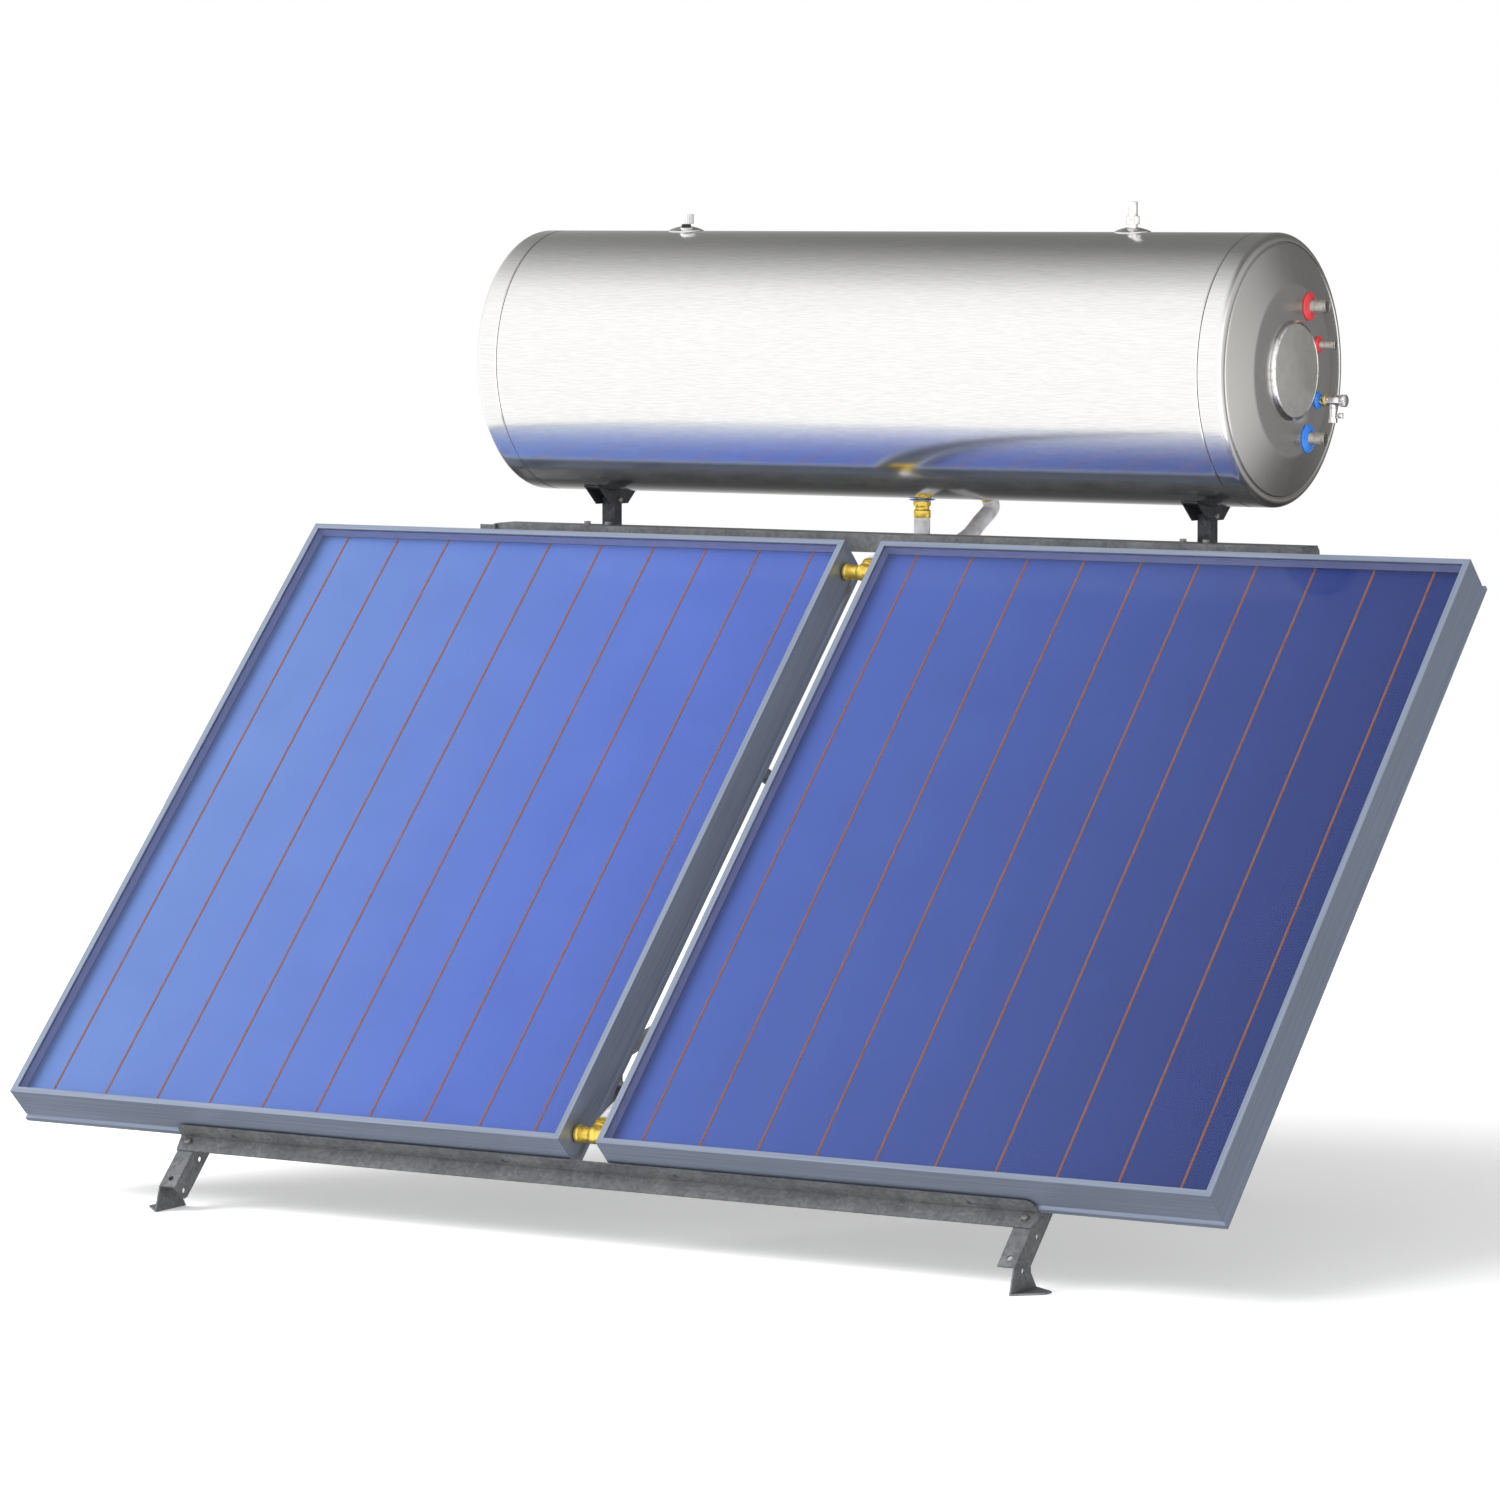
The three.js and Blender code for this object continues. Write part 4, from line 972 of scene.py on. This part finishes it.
def relief():
    """The relief tube, with a nut round its lower half."""
    matrix = tank_matrix(RELIEF_X)
    root = raised(TANK_RADIUS, [(-0.004, 0.0060), (-0.004, 0.0089), (0.0145, 0.0089), (0.0145, 0.0060)])
    top = raised(TANK_RADIUS, [
        (0.0290, 0.0061), (0.0290, 0.0102), (0.0318, 0.0096), (0.0322, 0.0089), (0.0560, 0.0089),
        (0.0569, 0.0082), (0.0569, 0.0068), (0.0560, 0.0061),
    ])
    domed_collar("relief_collar", RELIEF_X, 0.0088)
    pipe = [
        turned_mesh(root, matrix, 40, closed=True),
        hexagon(matrix, 0.0288, TANK_RADIUS + 0.0142, TANK_RADIUS + 0.0298, bore=0.0062),
        turned_mesh(top, matrix, 40, closed=True),
    ]
    joined("relief_pipe", pipe, "chrome", replaces=("relief_fitting",), slot="steel")


tank_skin()
end_caps()
service_cover()
rosettes()
for stub in ("hot_outlet", "hot_loop", "cold_inlet"):
    nipple(stub)
safety_valve()
test_knob()
vent()
relief()

# ---- Insulated pipes ----


def slope_point(x, along, out):
    """A place on the slope: across, up the slope, and out of the glass."""
    return slope_matrix(x, along, out).translation


def front_point(x, back, up):
    """A point given from the collectors' lower front edge, and up from the ground."""
    return Vector((x, SLOPE_ORIGIN.y + back, up))


def under_tank(x, angle, distance):
    """A point at a distance from the jacket, at an angle from straight down."""
    reach = TANK_RADIUS + distance
    return TANK_AXIS + Vector((x, reach * math.sin(angle), -reach * math.cos(angle)))


def branch_point(along, branch, distance):
    """A point on a tee's branch, at a distance from the header's middle line."""
    return slope_point(0, along + branch[0] * distance, HEADER_OUT + branch[1] * distance)


def centripetal(points):
    """Points on the centripetal Catmull-Rom curve through points."""
    per_span = 8
    first = points[0] * 2 - points[1]
    last = points[-1] * 2 - points[-2]
    guide = [first, *points, last]
    path = []
    for a, b, c, d in zip(guide, guide[1:], guide[2:], guide[3:]):
        t0 = 0.0
        t1 = t0 + (b - a).length ** 0.5
        t2 = t1 + (c - b).length ** 0.5
        t3 = t2 + (d - c).length ** 0.5
        for i in range(per_span):
            t = t1 + (t2 - t1) * i / per_span
            ab = a * ((t1 - t) / (t1 - t0)) + b * ((t - t0) / (t1 - t0))
            bc = b * ((t2 - t) / (t2 - t1)) + c * ((t - t1) / (t2 - t1))
            cd = c * ((t3 - t) / (t3 - t2)) + d * ((t - t2) / (t3 - t2))
            abc = ab * ((t2 - t) / (t2 - t0)) + bc * ((t - t0) / (t2 - t0))
            bcd = bc * ((t3 - t) / (t3 - t1)) + cd * ((t - t1) / (t3 - t1))
            path.append(abc * ((t2 - t) / (t2 - t1)) + bcd * ((t - t1) / (t2 - t1)))
    return path + [points[-1].copy()]


# Where the pipes start, from the jacket and from a tee's middle.
FITTING_END = 0.0383
COLD_PIPE = [
    under_tank(COLD_UNION_X, 0, FITTING_END),
    under_tank(COLD_UNION_X, 0, 0.062),
    front_point(0.044, 1.164, 1.190),
    front_point(0.041, 1.148, 1.140),
    front_point(0.036, 1.085, 1.105),
    slope_point(0.030, 1.200, -0.122),
    slope_point(0.028, 0.900, -0.120),
    slope_point(0.024, 0.500, -0.120),
    slope_point(0.014, 0.240, -0.118),
    branch_point(LOWER_HEADER, LOWER_BRANCH, 0.085),
    branch_point(LOWER_HEADER, LOWER_BRANCH, FITTING_END),
]
HOT_PIPE = [
    under_tank(HOT_UNION_X, HOT_UNION_ANGLE, FITTING_END),
    under_tank(HOT_UNION_X, HOT_UNION_ANGLE, 0.058),
    front_point(0.104, 1.289, 1.252),
    front_point(0.100, 1.250, 1.226),
    front_point(0.090, 1.201, 1.207),
    front_point(0.058, 1.118, 1.181),
    front_point(0.015, 1.092, 1.171),
    branch_point(UPPER_HEADER, UPPER_BRANCH, 0.052),
    branch_point(UPPER_HEADER, UPPER_BRANCH, FITTING_END),
]
sleeve("cold_pipe", centripetal(COLD_PIPE))
sleeve("hot_pipe", centripetal(HOT_PIPE))

# ---- Fasteners ----


def bolt(name, place, direction, grip, size=0.008):
    """A bolt of a size, with washers, and its nut and thread end beyond the grip that it clamps."""
    matrix = along_axis(direction, place)
    across = size * 1.85
    hole = size * 0.55
    rim = size * 1.02
    washer = 0.0014
    nut = -grip - 0.0013
    tip = -grip - size * 1.1
    upper_washer = [(0.0, hole), (0.0, rim), (washer, rim), (washer, hole)]
    shank = [(tip, 0.0), (tip, size * 0.42), (-grip - size, size * 0.5), (0.0015, size * 0.5)]
    shank.append((0.0015, 0.0))
    lower_washer = [(nut, hole), (nut, rim), (-grip, rim), (-grip, hole)]
    meshes = [
        hexagon(matrix, across, washer, washer + size * 0.62, 0.16),
        turned_mesh(upper_washer, matrix, 32, closed=True),
        turned_mesh(shank, matrix, 24),
        hexagon(matrix, across, -grip - size * 0.8, nut, 0.16),
        turned_mesh(lower_washer, matrix, 32, closed=True),
    ]
    joined(name, meshes, "bolt", slot="steel")


def saddle_bolts():
    """Across each saddle, through the leg's head."""
    for side, x in LEGS:
        place = TANK_AXIS + Vector((x + 0.0173, 0, -TANK_RADIUS - 0.019))
        bolt(side + "_saddle_bolt", place, (1, 0, 0), 0.0346, 0.0065)


def brace_bolts():
    """Both ends of the crossed bars, bolted through the legs."""
    leg_front = TANK_AXIS.y - 0.014
    leg_back = leg_front + 0.028
    bar = 0.0043
    for side, x in LEGS:
        for level, z in (("low", 0.165), ("high", 0.954)):
            in_front = (side == "left") == (level == "low")
            y = leg_front - bar if in_front else leg_back + bar
            direction = (0, -1, 0) if in_front else (0, 1, 0)
            bolt(f"{side}_brace_bolt_{level}", Vector((x, y, z)), direction, LEG_GRIP)


def rail_bolts():
    """The upper cross rail on the legs' lugs."""
    rail_front = SLOPE_ORIGIN.y + 1.072
    y = rail_front + 0.040
    for side, x in LEGS:
        for i, shift in enumerate((-0.024, 0.024)):
            bolt(f"{side}_lug_bolt_{i}", Vector((x + shift, y, 1.234)), (0, 0, 1), 0.0073)


def stay_bolts():
    """A stay's upper end on a side rail's web, and its lower end through a leg."""
    rail = slope_point(0, 0.420, -0.1115)
    for side, sign, web in (("left", -1, -0.8667), ("right", 1, 0.9060)):
        leg = Vector((sign * 0.6783, TANK_AXIS.y, 0.120))
        bolt(side + "_stay_bolt_high", Vector((web, rail.y, rail.z)), (1, 0, 0), 0.0073)
        bolt(side + "_stay_bolt_low", leg, (sign, 0, 0), LEG_GRIP)


def cross_rail_bolts():
    """The lower cross rail on the side rails."""
    out = slope_point(0, 0, 1) - slope_point(0, 0, 0)
    for side, x in (("left", -0.8885), ("right", 0.8885)):
        bolt(side + "_cross_rail_bolt", slope_point(x, -0.020, -0.0852), out, 0.0063)


saddle_bolts()
brace_bolts()
rail_bolts()
stay_bolts()
cross_rail_bolts()

# ---- Floor, lights and camera ----


def hung_light(name, kind, towards):
    """A light that shines towards a direction and isn't mirrored in the metal."""
    light = bpy.data.lights.new(name, kind)
    holder = bpy.data.objects.new(name, light)
    holder.rotation_mode = "QUATERNION"
    holder.rotation_quaternion = towards.to_track_quat("-Z", "Y")
    holder.visible_glossy = False
    bpy.context.scene.collection.objects.link(holder)
    return holder


def lights():
    """A wide soft sun from the front left, and a soft box beside the left collector."""
    sun = hung_light("sun", "SUN", Vector((0.48, 0.50, -0.72)))
    sun.data.energy = 2.1
    sun.data.angle = math.radians(40)
    box_place = Vector((-3.2, -1.6, 3.2))
    box_target = Vector((-0.9, -0.3, 0.8))
    key = hung_light("key", "AREA", box_target - box_place)
    key.location = box_place
    key.data.shape = "RECTANGLE"
    key.data.size = 2.6
    key.data.size_y = 2.2
    key.data.energy = 80


def sky(tree):
    """What metal reflects: bright in front, dark above, behind and below. The camera sees white."""
    place = tree.nodes.new("ShaderNodeTexCoord")

    def tone(towards, stops):
        """Grey by how far a direction leans towards another one, from 0 (away) to 1 (along it)."""
        lean = tree.nodes.new("ShaderNodeVectorMath")
        lean.operation = "DOT_PRODUCT"
        lean.inputs[1].default_value = [0.5 * t for t in towards]
        half = tree.nodes.new("ShaderNodeMath")
        half.operation = "ADD"
        half.inputs[1].default_value = 0.5
        ramp = tree.nodes.new("ShaderNodeValToRGB")
        while len(ramp.color_ramp.elements) < len(stops):
            ramp.color_ramp.elements.new(0.5)
        for stop, (position, value) in zip(ramp.color_ramp.elements, stops):
            stop.position = position
            stop.color = (value, value, value, 1)
        tree.links.new(place.outputs["Generated"], lean.inputs[0])
        tree.links.new(lean.outputs["Value"], half.inputs[0])
        tree.links.new(half.outputs["Value"], ramp.inputs["Fac"])
        return ramp.outputs["Color"]

    def mixed(mode, factor, first, second):
        mix = tree.nodes.new("ShaderNodeMix")
        mix.data_type = "RGBA"
        mix.blend_type = mode
        mix.inputs[MIX_FACTOR].default_value = 1.0
        for value, socket in ((factor, MIX_FACTOR), (first, MIX_FIRST), (second, MIX_SECOND)):
            if value is not None:
                tree.links.new(value, mix.inputs[socket])
        return mix

    bright = [(0.0, 0.15), (0.18, 0.21), (0.31, 0.60), (0.48, 1.12), (0.66, 1.25)]
    front = tone((-0.35, -0.72, -0.60), bright)
    side = tone((1, 0, 0), [(0.72, 0.0), (0.94, 0.6)])
    under = tone((0, 0.406, -0.914), [(0.75, 1.0), (0.82, 0.30), (0.88, 0.06)])
    around = mixed("ADD", None, front, side)
    reflected = mixed("MULTIPLY", None, around.outputs[MIX_COLOUR], under)
    ray = tree.nodes.new("ShaderNodeLightPath")
    seen = mixed("MIX", ray.outputs["Is Camera Ray"], reflected.outputs[MIX_COLOUR], None)
    seen.inputs[MIX_SECOND].default_value = (*WHITE, 1)
    tree.links.new(seen.outputs[MIX_COLOUR], tree.nodes["Background"].inputs["Color"])


def floor():
    """Plain pale paper, 1 mm below the feet."""
    reach = 6
    corners = [(-reach, -reach, 0), (reach, -reach, 0), (reach, reach, 0), (-reach, reach, 0)]
    mesh = bpy.data.meshes.new("floor")
    mesh.from_pydata(corners, [], [(0, 1, 2, 3)])
    paper = Surface("floor_paper", (0.88, 0.88, 0.88), 0.9, Emission_Strength=0.32)
    paper.shader.inputs["Emission Color"].default_value = (*WHITE, 1)
    paper.bump(paper.noise(40, 3.0), 0.0005, 0.2)
    mesh.materials.append(paper.material)
    sheet = bpy.data.objects.new("floor", mesh)
    sheet.location.z = -0.001
    sheet.visible_glossy = False
    bpy.context.scene.collection.objects.link(sheet)


def world():
    """The studio's surroundings."""
    studio = bpy.data.worlds.new("studio")
    studio.use_nodes = True
    sky(studio.node_tree)
    bpy.context.scene.world = studio


def camera():
    """The photograph's view: a long lens, from the front right, a little above the tank."""
    down = math.radians(4.801)
    round_right = math.radians(31.127)
    made = bpy.data.objects.new("camera", bpy.data.cameras.new("camera"))
    made.data.sensor_width = 36
    made.data.lens = 156.95
    made.location = (6.2553, -10.4500, 1.8700)
    made.rotation_euler = (math.radians(90) - down, 0, round_right)
    bpy.context.scene.collection.objects.link(made)
    bpy.context.scene.camera = made


floor()
world()
lights()
camera()
bpy.context.scene.view_settings.view_transform = "Standard"
